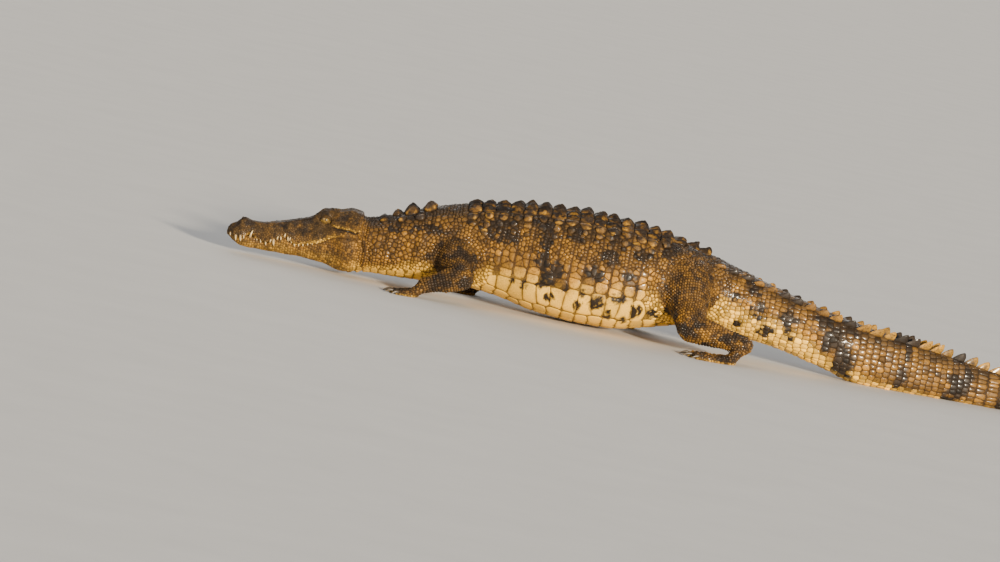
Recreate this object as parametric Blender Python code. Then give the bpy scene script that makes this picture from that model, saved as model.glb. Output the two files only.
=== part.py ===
"""Nile crocodile, adult, caught in mid stride on a low walk.

Faceted solids, one object for each part a person would name. The animal looks
along -X, its left side faces -Y and it stands on Z = 0. "s" is the distance
along the spine from the tip of the snout.
"""

import math

import bmesh
import bpy
import numpy as np
from mathutils import Vector

# ---- Driving sizes, metres --------------------------------------------------
GAP = 0.0003  # clearance between neighbouring solids
ROOT_GAP = 0.0006  # clearance between a limb and the body
MOUTH_GAP = 0.0006  # clearance between the lips
CLAW_LIFT = 0.0015  # the claws end just over the floor
HEAD_END = 0.500  # back of the head
SHOULDER = 0.840  # neck ends, trunk starts
SCUTE_PITCH = 0.0525  # one cross row of back shields
FIRST_ROW = 0.875
MID_TRUNK = FIRST_ROW + 8 * SCUTE_PITCH
VENT = FIRST_ROW + 18 * SCUTE_PITCH  # trunk ends, tail starts
TAIL_SPLITS = (FIRST_ROW + 30 * SCUTE_PITCH, FIRST_ROW + 41 * SCUTE_PITCH)
TAIL_TIP = 3.600
LAST_DOUBLE = FIRST_ROW + 36 * SCUTE_PITCH  # from here the tail has one crest
SWAY_START, SWAY_ANGLE = 2.30, 0.34  # the tail swings out past SWAY_START

# ---- Anatomical stations ----------------------------------------------------
# Head: s, half width at the lips, at the top ridge, of the jaw; then levels of
# the midline, the ridge and the chin, and how far the cheek stands out.
HEAD = (
    # s      lip    ridge  jaw    mid    ridge  chin   cheek
    (0.000, 0.014, 0.006, 0.011, 0.090, 0.088, 0.062, 0.000),
    (0.010, 0.031, 0.014, 0.027, 0.103, 0.100, 0.056, 0.002),
    (0.030, 0.046, 0.024, 0.040, 0.117, 0.114, 0.044, 0.003),
    (0.055, 0.052, 0.030, 0.043, 0.134, 0.131, 0.034, 0.001),
    (0.088, 0.0435, 0.031, 0.048, 0.131, 0.128, 0.029, 0.001),
    (0.125, 0.053, 0.036, 0.044, 0.133, 0.131, 0.031, 0.003),
    (0.180, 0.063, 0.041, 0.053, 0.148, 0.147, 0.032, 0.005),
    (0.250, 0.068, 0.043, 0.059, 0.168, 0.171, 0.035, 0.003),
    (0.305, 0.077, 0.050, 0.068, 0.187, 0.193, 0.037, 0.001),
    (0.340, 0.087, 0.058, 0.078, 0.199, 0.222, 0.037, -0.002),
    (0.375, 0.098, 0.060, 0.090, 0.210, 0.236, 0.036, -0.003),
    (0.410, 0.112, 0.067, 0.106, 0.229, 0.240, 0.029, -0.002),
    (0.450, 0.128, 0.076, 0.125, 0.243, 0.252, 0.020, 0.004),
    (0.475, 0.132, 0.079, 0.130, 0.240, 0.248, 0.021, 0.010),
    (0.500, 0.131, 0.078, 0.130, 0.230, 0.232, 0.024, 0.016),
)
# Mouth line: s, level of the upper lip, level of the lower lip.
LIPS = (
    (0.000, 0.074, 0.073),
    (0.025, 0.065, 0.064),
    (0.050, 0.068, 0.067),
    (0.072, 0.072, 0.070),
    (0.088, 0.099, 0.072),
    (0.106, 0.072, 0.070),
    (0.150, 0.066, 0.065),
    (0.185, 0.085, 0.084),
    (0.222, 0.104, 0.103),
    (0.260, 0.083, 0.082),
    (0.300, 0.093, 0.092),
    (0.352, 0.111, 0.110),
    (0.410, 0.143, 0.142),
    (0.500, 0.150, 0.149),
)
# Body: s, half width, top, widest level, bottom, squareness above and below.
BODY = (
    (0.500, 0.129, 0.232, 0.125, 0.024, 2.3, 2.6),
    (0.560, 0.138, 0.246, 0.130, 0.030, 2.3, 2.5),
    (0.640, 0.150, 0.282, 0.145, 0.033, 2.2, 2.4),
    (0.720, 0.160, 0.314, 0.165, 0.038, 2.2, 2.3),
    (0.800, 0.168, 0.343, 0.180, 0.044, 2.2, 2.3),
    (0.900, 0.184, 0.369, 0.190, 0.054, 2.4, 2.3),
    (1.040, 0.208, 0.395, 0.195, 0.044, 2.5, 2.4),
    (1.200, 0.238, 0.414, 0.190, 0.016, 2.5, 2.5),
    (1.350, 0.256, 0.422, 0.185, 0.008, 2.5, 2.6),
    (1.480, 0.252, 0.420, 0.190, 0.012, 2.5, 2.6),
    (1.600, 0.226, 0.408, 0.205, 0.036, 2.5, 2.4),
    (1.730, 0.184, 0.384, 0.220, 0.072, 2.5, 2.3),
    (1.850, 0.152, 0.357, 0.215, 0.098, 2.6, 2.3),
    (1.960, 0.134, 0.327, 0.190, 0.084, 2.7, 2.3),
    (2.100, 0.117, 0.290, 0.165, 0.072, 2.8, 2.3),
    (2.300, 0.097, 0.244, 0.125, 0.034, 2.8, 2.3),
    (2.480, 0.081, 0.213, 0.085, -0.005, 2.7, 2.5),
    (2.700, 0.064, 0.180, 0.062, -0.006, 2.4, 2.6),
    (2.950, 0.048, 0.143, 0.048, -0.005, 2.2, 2.6),
    (3.200, 0.034, 0.102, 0.036, -0.004, 2.1, 2.5),
    (3.420, 0.021, 0.063, 0.024, -0.003, 2.0, 2.4),
    (3.600, 0.004, 0.014, 0.007, -0.001, 2.0, 2.0),
)
# Height of the shield keels and tail blades over the skin: s, height.
KEELS = (
    (0.860, 0.010),
    (1.000, 0.014),
    (1.600, 0.015),
    (1.850, 0.022),
    (2.300, 0.034),
    (2.700, 0.042),
    (3.100, 0.036),
    (3.450, 0.020),
    (3.600, 0.002),
)
# Teeth: s, length, radius.
UPPER_TEETH = (
    (0.012, 0.010, 0.0032),
    (0.034, 0.020, 0.0044),
    (0.052, 0.022, 0.0046),
    (0.064, 0.012, 0.0034),
    (0.130, 0.011, 0.0034),
    (0.150, 0.014, 0.0038),
    (0.178, 0.024, 0.0050),
    (0.203, 0.014, 0.0040),
    (0.230, 0.018, 0.0042),
    (0.258, 0.013, 0.0038),
    (0.290, 0.012, 0.0036),
)
FOURTH_LOWER = (0.0885, 0.030, 0.0048)
EYE_S, EYE_Y, EYE_Z, EYE_R = 0.357, 0.0600, 0.195, 0.0205


def smooth(table, column):
    """Monotone cubic curve through one column of a station table."""
    xs = np.array([row[0] for row in table])
    ys = np.array([row[column] for row in table])
    step = np.diff(xs)
    rise = np.diff(ys) / step
    slope = np.zeros_like(ys)
    slope[0], slope[-1] = rise[0], rise[-1]
    for i in range(1, len(xs) - 1):
        if rise[i - 1] * rise[i] > 0:
            before, after = 2 * step[i] + step[i - 1], step[i] + 2 * step[i - 1]
            slope[i] = (before + after) / (before / rise[i - 1] + after / rise[i])

    def value(x):
        x = min(max(x, xs[0]), xs[-1])
        i = min(int(np.searchsorted(xs, x, side="right")) - 1, len(step) - 1)
        t = (x - xs[i]) / step[i]
        return float(
            (1 + 2 * t) * (1 - t) ** 2 * ys[i]
            + t * (1 - t) ** 2 * step[i] * slope[i]
            + t * t * (3 - 2 * t) * ys[i + 1]
            + t * t * (t - 1) * step[i] * slope[i + 1]
        )

    return value


(LIP_W, RIDGE_W, JAW_W, MID_Z, RIDGE_Z, CHIN_Z, CHEEK) = (
    smooth(HEAD, c) for c in range(1, 8)
)
UPPER_LIP, LOWER_LIP = smooth(LIPS, 1), smooth(LIPS, 2)
(BODY_W, TOP_Z, WIDE_Z, LOW_Z, SQUARE_UP, SQUARE_LOW) = (
    smooth(BODY, c) for c in range(1, 7)
)
KEEL = smooth(KEELS, 1)


def material(name, colour, roughness, metallic=0.0):
    """A Principled material with the part's colour, made once."""
    made = bpy.data.materials.get(name)
    if made is None:
        made = bpy.data.materials.new(name)
        made.use_nodes = True
        made.diffuse_color = (*colour, 1.0)
        shader = made.node_tree.nodes["Principled BSDF"]
        shader.inputs["Base Color"].default_value = (*colour, 1.0)
        shader.inputs["Roughness"].default_value = roughness
        shader.inputs["Metallic"].default_value = metallic
    return made


HIDE = ("hide", (0.30, 0.235, 0.105), 0.62)
HORN = ("claw_horn", (0.055, 0.040, 0.028), 0.40)
EYE = ("eye", (0.40, 0.27, 0.06), 0.12)


def add_object(name, points, faces, finish):
    """An object from points and faces, its normals set to face outwards."""
    mesh = bpy.data.meshes.new(name)
    mesh.from_pydata([tuple(p) for p in points], [], faces)
    shape = bmesh.new()
    shape.from_mesh(mesh)
    bmesh.ops.recalc_face_normals(shape, faces=shape.faces)
    if shape.calc_volume(signed=True) < 0:
        bmesh.ops.reverse_faces(shape, faces=shape.faces)
    shape.to_mesh(mesh)
    shape.free()
    mesh.materials.append(material(*finish))
    made = bpy.data.objects.new(name, mesh)
    bpy.context.scene.collection.objects.link(made)
    return made


def loft(name, rings, finish):
    """A closed solid through rings with equal numbers of points."""
    count = len(rings[0])
    points = [p for ring in rings for p in ring]
    faces = []
    for k in range(len(rings) - 1):
        for i in range(count):
            j = (i + 1) % count
            a, b = k * count, (k + 1) * count
            faces.append((a + i, a + j, b + j, b + i))
    for k in (0, len(rings) - 1):
        middle = np.mean(np.array(rings[k]), axis=0)
        points.append(middle)
        faces += [
            (k * count + i, k * count + (i + 1) % count, len(points) - 1)
            for i in range(count)
        ]
    return add_object(name, points, faces, finish)


def combine(target, tool, operation):
    """Boolean of two objects, applied to the first; the second is removed."""
    step = target.modifiers.new(operation.lower(), "BOOLEAN")
    step.operation, step.solver, step.object = operation, "EXACT", tool
    bpy.context.view_layer.update()
    graph = bpy.context.evaluated_depsgraph_get()
    result = bpy.data.meshes.new_from_object(target.evaluated_get(graph))
    target.modifiers.clear()
    target.data = result
    bpy.data.objects.remove(tool)


def centre_line(s):
    """Place and heading of the spine in plan at distance s."""
    steps = 60
    x, y, heading = min(s, SWAY_START), 0.0, 0.0
    if s > SWAY_START:
        part = (s - SWAY_START) / steps
        for k in range(steps):
            at = SWAY_START + (k + 0.5) * part
            heading = sway(at)
            x += part * math.cos(heading)
            y += part * math.sin(heading)
        heading = sway(s)
    return x, y, heading


def sway(s):
    """Heading of the tail: out to the right, then back the other way."""
    t = (s - SWAY_START) / (TAIL_TIP - SWAY_START)
    return SWAY_ANGLE * math.sin(math.pi * min(max(t, 0.0), 1.0) * 1.45)


def on_spine(s, side, level, back=0.0):
    """World point at the side and level given, in the section at s."""
    x, y, heading = centre_line(s)
    return np.array([
        x - math.sin(heading) * side + math.cos(heading) * back,
        y + math.cos(heading) * side + math.sin(heading) * back,
        level,
    ])


# ---- Head -------------------------------------------------------------------
def lip_level(s):
    """Upper lip, never lower than the clearance over the lower lip."""
    return max(UPPER_LIP(s), LOWER_LIP(s) + MOUTH_GAP)


def half_skull(s):
    """(side, level) from the midline of the skull roof out to the upper lip."""
    lip, ridge, mid_z, ridge_z = LIP_W(s), RIDGE_W(s), MID_Z(s), RIDGE_Z(s)
    edge, cheek = lip_level(s), CHEEK(s)
    wide = ridge + (lip - ridge) * 0.62 + cheek
    return [
        (0.0, mid_z),
        (ridge * 0.55, mid_z + (ridge_z - mid_z) * 0.35),
        (ridge * 0.93, ridge_z),
        (ridge + (lip - ridge) * 0.12 + cheek * 0.3, ridge_z * 0.86 + edge * 0.14),
        (wide, ridge_z * 0.5 + edge * 0.5),
        (lip + cheek * 0.3, ridge_z * 0.22 + edge * 0.78),
        (lip - 0.001, edge),
    ]


def skull_ring(s):
    """Closed section of the upper head, with a flat palate."""
    half = half_skull(s)
    roof = LOWER_LIP(s) + MOUTH_GAP
    inner = min(LIP_W(s), JAW_W(s)) * 0.55
    right = [on_spine(s, y, z) for y, z in half]
    left = [on_spine(s, -y, z) for y, z in half[:0:-1]]
    palate = [on_spine(s, inner, roof), on_spine(s, -inner, roof)]
    return right + palate + left


def jaw_ring(s):
    """Closed section of the lower jaw."""
    wide, lip, chin = JAW_W(s), LOWER_LIP(s), CHIN_Z(s)
    half = [
        (wide - 0.001, lip),
        (wide, lip * 0.72 + chin * 0.28),
        (wide * 0.93, lip * 0.36 + chin * 0.64),
        (wide * 0.70, lip * 0.06 + chin * 0.94),
        (wide * 0.30, chin),
    ]
    right = [on_spine(s, y, z) for y, z in half]
    left = [on_spine(s, -y, z) for y, z in half[::-1]]
    return right + left


def head_places():
    """Rings along the head: close at the snout and round the brow."""
    front = [0.0, 0.005, 0.013, 0.025, 0.040, 0.055, 0.068, 0.078]
    notch = [0.0885, 0.099, 0.111]
    snout = list(np.arange(0.133, 0.300, 0.0281))
    brow = [0.305, 0.322, 0.338, 0.356, 0.378, 0.400]
    table = [0.425, 0.448, 0.464, 0.478, HEAD_END - GAP]
    return front + notch + snout + brow + table


def tooth(s, side, level, length, radius, lean):
    """A cone whose root lies in the lip; a negative length points up."""
    sides, out = 5, math.copysign(1.0, side)
    root = on_spine(s, side, level)
    tip = on_spine(s, side + out * lean, level - length, 0.15 * length)
    ring = [
        root + np.array([
            radius * math.cos(2 * math.pi * k / sides),
            radius * math.sin(2 * math.pi * k / sides),
            0.0,
        ])
        for k in range(sides)
    ]
    top = root + np.array([0.0, 0.0, math.copysign(radius, length)])
    points = ring + [top, tip]
    faces = []
    for k in range(sides):
        j = (k + 1) % sides
        faces += [(k, j, sides), (k, j, sides + 1)]
    return add_object("tooth", points, faces, HIDE)


def build_head():
    """Upper head and lower jaw, parted along the lips, with their teeth."""
    places = head_places()
    skull = loft("head_upper", [skull_ring(s) for s in places], HIDE)
    jaw = loft("jaw_lower", [jaw_ring(s) for s in places], HIDE)
    for side in (-1, 1):
        for s, length, radius in UPPER_TEETH:
            wide = max(LIP_W(s) - 0.003, JAW_W(s) + radius + 0.0008)
            level = lip_level(s) + 0.004
            combine(
                skull,
                tooth(s, side * wide, level, length + 0.004, radius, 0.001),
                "UNION",
            )
        s, length, radius = FOURTH_LOWER
        wide = JAW_W(s) - 0.002
        combine(
            jaw,
            tooth(s, side * wide, LOWER_LIP(s) - 0.004, -length, radius, 0.001),
            "UNION",
        )
        eye = ball(f"eye_{side_name(side)}", side, EYE_R, 10, 7, EYE)
        socket = ball("socket", side, EYE_R + 2 * GAP, 10, 7, HIDE)
        combine(skull, socket, "DIFFERENCE")
        eye["part"] = "eye"


def side_name(side):
    return "left" if side < 0 else "right"


def ball(name, side, radius, around, levels, finish):
    """A faceted ball at the eye of the side given."""
    centre = np.array([EYE_S, side * EYE_Y, EYE_Z])
    rings = []
    for k in range(1, levels):
        polar = math.pi * k / levels
        rings.append([
            centre
            + radius
            * np.array([
                math.sin(polar) * math.cos(2 * math.pi * i / around),
                math.cos(polar),
                math.sin(polar) * math.sin(2 * math.pi * i / around),
            ])
            for i in range(around)
        ])
    points = [p for ring in rings for p in ring]
    points += [centre + (0, radius, 0), centre - (0, radius, 0)]
    faces, last = [], (levels - 2) * around
    for i in range(around):
        j = (i + 1) % around
        for k in range(levels - 2):
            a, b = k * around, (k + 1) * around
            faces.append((a + i, a + j, b + j, b + i))
        faces += [(i, j, len(points) - 2), (last + i, last + j, len(points) - 1)]
    return add_object(name, points, faces, finish)


# ---- Neck, trunk and tail ---------------------------------------------------
KEEL_SIDES = (0.16, 0.47, 0.76)  # keel lines, in half widths of the shielded back
HALF_STEPS = 9  # steps of a plain half section
TRUNK_POINTS, TAIL_POINTS = 13, 7  # points of a half section above the belly line


def half_body(s, grow=0.0):
    """(side, level) of the right half section, from the top to the bottom."""
    wide = BODY_W(s) + grow
    top, low, middle = TOP_Z(s) + grow, LOW_Z(s) - grow, WIDE_Z(s)
    points = []
    for k in range(HALF_STEPS + 1):
        angle = math.pi / 2 - math.pi * k / HALF_STEPS
        up = angle >= 0
        power = 2 / (SQUARE_UP(s) if up else SQUARE_LOW(s))
        rise = (top - middle) if up else (middle - low)
        side = wide * abs(math.cos(angle)) ** power
        level = middle + math.copysign(rise * abs(math.sin(angle)) ** power, angle)
        points.append((0.0 if k in (0, HALF_STEPS) else side, level))
    return points


def top_level(s, side):
    """Level of the bare skin over the point at this side of the spine."""
    power = SQUARE_UP(s)
    share = min(abs(side) / BODY_W(s), 1.0)
    return WIDE_Z(s) + (TOP_Z(s) - WIDE_Z(s)) * (1 - share**power) ** (1 / power)


def body_ring(s, rise=0.0, lean=0.0, grow=0.0):
    """Section with its keels lifted by rise and swept back by lean."""
    half = half_body(s, grow)
    shielded = BODY_W(s) * 0.62
    if s > LAST_DOUBLE:
        crests = [0.0]
    elif s > VENT:
        crests = [0.62 - 0.5 * max(0.0, (s - 2.45) / (LAST_DOUBLE - 2.45))]
    else:
        crests = list(KEEL_SIDES)
    right = []
    for part in crests:
        side = shielded * part if s <= VENT else BODY_W(s) * part
        foot = min(0.011, max(0.25 * side, 0.3 * BODY_W(s)) * 0.5)
        if side > 0:
            right.append((max(side - foot, side * 0.45), 0.0, 0.0))
        right.append((side, rise, lean))
        right.append((side + foot, 0.0, 0.0))
    upper = [(y, top_level(s, y) + grow + h, b) for y, h, b in right]
    reach = upper[-1][0]
    clear = reach + 0.03 * BODY_W(s)
    lower = [(y, z, 0.0) for y, z in half[1:-1] if y > clear or z < WIDE_Z(s)]
    top = [] if crests[0] == 0.0 else [(0.0, TOP_Z(s) + grow, 0.0)]
    count = TRUNK_POINTS if s <= VENT else TAIL_POINTS
    bottom = (0.0, LOW_Z(s) - grow)
    chain = top + upper + resample(lower, count - len(top) - len(upper))
    bottom = (0.0, max(bottom[1], 0.0))
    chain = [(y, max(z, 0.0), b) for y, z, b in chain]
    side_points = [on_spine(s, y, z, b) for y, z, b in chain]
    mirrored = [on_spine(s, -y, z, b) for y, z, b in chain[:0:-1]]
    return side_points + [on_spine(s, bottom[0], bottom[1])] + mirrored


def resample(points, count):
    """The same path in count points at even distances."""
    places = np.array([(y, z) for y, z, _ in points])
    along = np.concatenate([[0], np.cumsum(np.linalg.norm(np.diff(places, axis=0), axis=1))])
    wanted = np.linspace(0, along[-1], count)
    ys, zs = (np.interp(wanted, along, places[:, c]) for c in (0, 1))
    return [(y, z, 0.0) for y, z in zip(ys, zs)]


def row_places(start, end):
    """Pairs of (s, is peak) for every shield row between two cuts."""
    found = [(start, False)]
    row = FIRST_ROW
    while row < end - 0.01:
        if row > start + 0.01:
            found.append((row, False))
        if row > start - 0.01 and row + 0.72 * SCUTE_PITCH < end - 0.005:
            found.append((row + 0.72 * SCUTE_PITCH, True))
        row += SCUTE_PITCH
    found.append((end, False))
    return found


def build_body_length(name, start, end, grow=0.0):
    """One length of the shielded trunk or tail; a grown one overlaps the next."""
    rings = []
    places = row_places(start + GAP / 2, end - GAP / 2)
    for s, peak in places:
        rise = KEEL(s) if peak else 0.0
        lean = 0.30 * SCUTE_PITCH if peak and s > VENT else 0.0
        rings.append(body_ring(s, rise, lean, grow))
    return loft(name, lengthened(rings, grow), HIDE)


def lengthened(rings, grow):
    """Moves the end rings outwards along the spine, for a grown copy."""
    rings[0] = [p - np.array([grow * 3, 0, 0]) for p in rings[0]]
    rings[-1] = [p + np.array([grow * 3, 0, 0]) for p in rings[-1]]
    return rings


def neck_ring(s, rise, grow=0.0):
    """Section of the neck, its nape lifted where a shield stands."""
    half = half_body(s, grow)
    lifted = [
        (y, z + rise * max(0.0, 1 - (y / 0.075) ** 2)) for y, z in half
    ]
    right = [on_spine(s, y, z) for y, z in lifted]
    left = [on_spine(s, -y, z) for y, z in lifted[-2:0:-1]]
    return right + left


NAPE = (
    (0.500, 0.000), (0.535, 0.002), (0.560, 0.004), (0.590, 0.009), (0.612, 0.014),
    (0.628, 0.004), (0.655, 0.004), (0.676, 0.026), (0.690, 0.012), (0.712, 0.010),
    (0.744, 0.030), (0.758, 0.012), (0.785, 0.004), (0.840, 0.000),
)


def build_neck(name="neck", grow=0.0):
    rings = []
    for s, rise in NAPE:
        place = min(max(s, HEAD_END + GAP), SHOULDER - GAP / 2)
        rings.append(neck_ring(place, rise, grow))
    return loft(name, lengthened(rings, grow), HIDE)


# ---- Limbs ------------------------------------------------------------------
def limb_tube(name, path, radii, first_plane=None, last_plane=None):
    """A tapering round limb along a path; each end lies in its plane."""
    path = [np.array(p, float) for p in path]
    rings = []
    for k, centre in enumerate(path):
        ahead = path[min(k + 1, len(path) - 1)] - path[max(k - 1, 0)]
        ahead = ahead / np.linalg.norm(ahead)
        normal = ahead
        if k == 0 and first_plane is not None:
            normal = first_plane
        if k == len(path) - 1 and last_plane is not None:
            normal = last_plane
        helper = np.array([0.0, 1.0, 0.0])
        if abs(normal @ helper) > 0.85:
            helper = np.array([1.0, 0.0, 0.0])
        u = np.cross(normal, helper)
        u /= np.linalg.norm(u)
        v = np.cross(normal, u)
        across, deep = radii[k]
        ring = []
        for i in range(10):
            angle = 2 * math.pi * i / 10
            point = centre + u * across * math.cos(angle) + v * deep * math.sin(angle)
            point[2] = max(point[2], 0.0)
            ring.append(point)
        rings.append(ring)
    return loft(name, rings, HIDE)


def between(a, b, share):
    return np.array(a, float) * (1 - share) + np.array(b, float) * share


def unit(v):
    v = np.array(v, float)
    return v / np.linalg.norm(v)


def toe_solid(root, heading, length, radius, tip_radius):
    """One toe lying on the floor, arched over its middle joint."""
    forward = np.array([math.cos(heading), math.sin(heading), 0.0])
    across = np.array([-forward[1], forward[0], 0.0])
    rings = []
    for share, size in ((-0.12, 0.9), (0.32, 1.0), (0.74, 0.84), (1.0, 0.42)):
        r = radius * size if share < 0.7 else max(tip_radius, radius * size)
        centre = np.array(root) + forward * length * share
        rings.append([
            centre + across * r * math.cos(a) * 0.95
            + np.array([0, 0, max(r * (0.45 + 1.10 * math.sin(a)), 0.0)])
            for a in (2 * math.pi * (i + 0.5) / 6 for i in range(6))
        ])
    return loft("toe", rings, HIDE)


def claw(name, root, heading, length, radius):
    """A bluntly pointed claw that bends down to the floor."""
    forward = np.array([math.cos(heading), math.sin(heading), 0.0])
    across = np.array([-forward[1], forward[0], 0.0])
    up = np.array([0.0, 0.0, 1.0])
    rings = []
    for share, size, drop in ((0, 1.0, 0), (0.35, 0.86, 0.02), (0.7, 0.55, 0.17),
                              (1.0, 0.16, 0.45)):
        centre = root + forward * length * share - up * drop * root[2]
        rings.append([
            centre + (across * 0.8 * math.cos(a) + up * math.sin(a)) * radius * size
            for a in (2 * math.pi * i / 6 for i in range(6))
        ])
    for point in (p for ring in rings for p in ring):
        point[2] = max(point[2], CLAW_LIFT)
    return loft(name, rings, HORN)


def build_foot(name, ankle, ankle_size, plane, palm, knuckles, heading, toes, spread):
    """Sole, toes and claws; toes is a list of (length, radius, clawed)."""
    side = 1.0 if ankle[1] > 0 else -1.0
    count = len(toes)
    start = np.array(ankle) + unit(plane) * GAP / 2
    sole = [start, between(ankle, palm, 0.6), palm, knuckles]
    wide = sum(r for _, r, _ in toes) * 0.92
    radii = [ankle_size, (ankle_size[0] * 0.62, wide * 0.62), (0.020, wide * 0.86),
             (0.014, wide)]
    foot = limb_tube(name, sole, radii, first_plane=unit(plane))
    forward = np.array([math.cos(heading), math.sin(heading), 0.0])
    across = np.array([-forward[1], forward[0], 0.0])
    base = np.array([knuckles[0], knuckles[1], 0.0]) - forward * 0.012
    for k, (length, radius, clawed) in enumerate(toes):
        share = 1 - 2 * k / (count - 1)  # +1 is the inner toe
        inward = -side * share
        root = base + across * inward * wide * 0.86
        turn = heading + spread * inward
        combine(foot, toe_solid(root, turn, length, radius, 0.0045), "UNION")
        if clawed:
            ahead = np.array([math.cos(turn), math.sin(turn), 0.0])
            at = root + ahead * (length + GAP) + np.array([0, 0, radius * 0.42])
            claw(f"{name.replace('foot', 'claw')}_{k + 1}", at, turn,
                 0.030 if count == 4 else 0.024, 0.0056)
    return foot


FORE_TOES = (
    (0.056, 0.0125, True),
    (0.074, 0.0135, True),
    (0.080, 0.0130, True),
    (0.072, 0.0115, False),
    (0.058, 0.0100, False),
)
HIND_TOES = (
    (0.090, 0.0160, True),
    (0.112, 0.0170, True),
    (0.116, 0.0155, True),
    (0.094, 0.0120, False),
)
LIMBS = {
    # joints of each limb, then the heading of its toes in degrees
    "foreleg_left": dict(
        root=(0.848, -0.110, 0.178), joint=(0.902, -0.290, 0.106),
        ankle=(0.772, -0.292, 0.050), palm=(0.735, -0.290, 0.012),
        knuckles=(0.712, -0.288, 0.009), heading=182.0,
    ),
    "foreleg_right": dict(
        root=(0.890, 0.110, 0.190), joint=(1.062, 0.285, 0.168),
        ankle=(0.985, 0.290, 0.052), palm=(0.950, 0.296, 0.012),
        knuckles=(0.926, 0.300, 0.009), heading=163.0,
    ),
    "hindleg_left": dict(
        root=(1.735, -0.110, 0.250), joint=(1.788, -0.298, 0.104),
        ankle=(1.992, -0.304, 0.078), palm=(1.950, -0.318, 0.012),
        knuckles=(1.893, -0.330, 0.009), heading=189.0,
    ),
    "hindleg_right": dict(
        root=(1.740, 0.110, 0.260), joint=(1.560, 0.300, 0.165),
        ankle=(1.640, 0.312, 0.052), palm=(1.572, 0.318, 0.012),
        knuckles=(1.515, 0.322, 0.009), heading=176.0,
    ),
}
# half thickness (along, across) at the root, mid, joint, calf, ankle
FORE_SIZES = ((0.082, 0.070), (0.076, 0.062), (0.047, 0.046), (0.043, 0.040),
              (0.027, 0.030))
HIND_SIZES = ((0.116, 0.105), (0.088, 0.080), (0.062, 0.054), (0.045, 0.044),
              (0.033, 0.036))


def cut_root(limb, fore):
    """Cuts from the limb what lies inside the body, with the clearance."""
    if fore:
        combine(limb, build_neck("cutter", ROOT_GAP), "DIFFERENCE")
        cuts = ((SHOULDER, MID_TRUNK),)
    else:
        cuts = ((MID_TRUNK, VENT), (VENT, TAIL_SPLITS[0]))
    for start, end in cuts:
        cutter = build_body_length("cutter", start, end, ROOT_GAP)
        combine(limb, cutter, "DIFFERENCE")


def build_limb(name, joints, sizes, toes, spread):
    root, joint, ankle = (np.array(joints[k]) for k in ("root", "joint", "ankle"))
    palm, knuckles = np.array(joints["palm"]), np.array(joints["knuckles"])
    bend = unit(unit(joint - root) + unit(ankle - joint))
    turn = unit(unit(ankle - joint) + unit(palm - ankle))
    if np.linalg.norm(unit(ankle - joint) + unit(palm - ankle)) < 0.9:
        turn = unit(unit(ankle - joint) + np.array([0.0, 0.0, -1.2]))
    upper = limb_tube(
        f"{name}_upper",
        [root, between(root, joint, 0.42), between(root, joint, 0.66),
         joint - bend * GAP / 2],
        [sizes[0], sizes[1], between(sizes[1], sizes[2], 0.7), sizes[2]],
        last_plane=bend,
    )
    cut_root(upper, name.startswith("fore"))
    limb_tube(
        f"{name}_lower",
        [joint + bend * GAP / 2, between(joint, ankle, 0.44),
         between(joint, ankle, 0.72), ankle - turn * GAP / 2],
        [sizes[2], sizes[3], between(sizes[3], sizes[4], 0.7), sizes[4]],
        first_plane=bend, last_plane=turn,
    )
    build_foot(f"{name}_foot", ankle, sizes[4], turn, palm, knuckles,
               math.radians(joints["heading"]), toes, spread)


def ground_centre():
    """Moves everything so that the model's box is centred over the origin."""
    boxes = [np.array([v.co for v in o.data.vertices]) for o in bpy.data.objects]
    low = np.min([b.min(axis=0) for b in boxes], axis=0)
    high = np.max([b.max(axis=0) for b in boxes], axis=0)
    middle = Vector(((low[0] + high[0]) / 2, (low[1] + high[1]) / 2, low[2]))
    for part in bpy.data.objects:
        for vertex in part.data.vertices:
            vertex.co -= middle
    print("moved by", tuple(round(-c, 5) for c in middle))


def main():
    for old in list(bpy.data.objects):
        bpy.data.objects.remove(old)
    build_head()
    build_neck()
    build_body_length("trunk_front", SHOULDER, MID_TRUNK)
    build_body_length("trunk_rear", MID_TRUNK, VENT)
    cuts = (VENT, *TAIL_SPLITS, TAIL_TIP)
    for k, name in enumerate(("tail_base", "tail_middle", "tail_tip")):
        build_body_length(name, cuts[k], cuts[k + 1])
    for name, joints in LIMBS.items():
        fore = name.startswith("fore")
        build_limb(name, joints, FORE_SIZES if fore else HIND_SIZES,
                   FORE_TOES if fore else HIND_TOES, 0.42 if fore else 0.22)
    ground_centre()


main()
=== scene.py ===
"""Nile crocodile in mid stride: hide, scales, eyes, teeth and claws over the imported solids.

The animal looks along -X and its left side faces -Y. Two numbers place a point on
the body: s, the distance along the spine from the snout, and q, from 0 on the
midline of the back to 1 on the midline of the belly, negative on the left side.
"""

from __future__ import annotations

import logging
import math
from collections.abc import Iterator
from dataclasses import dataclass, field
from enum import Enum

import bpy
import numpy as np
from mathutils import Matrix, Vector
from mathutils.bvhtree import BVHTree
from mathutils.kdtree import KDTree

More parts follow.
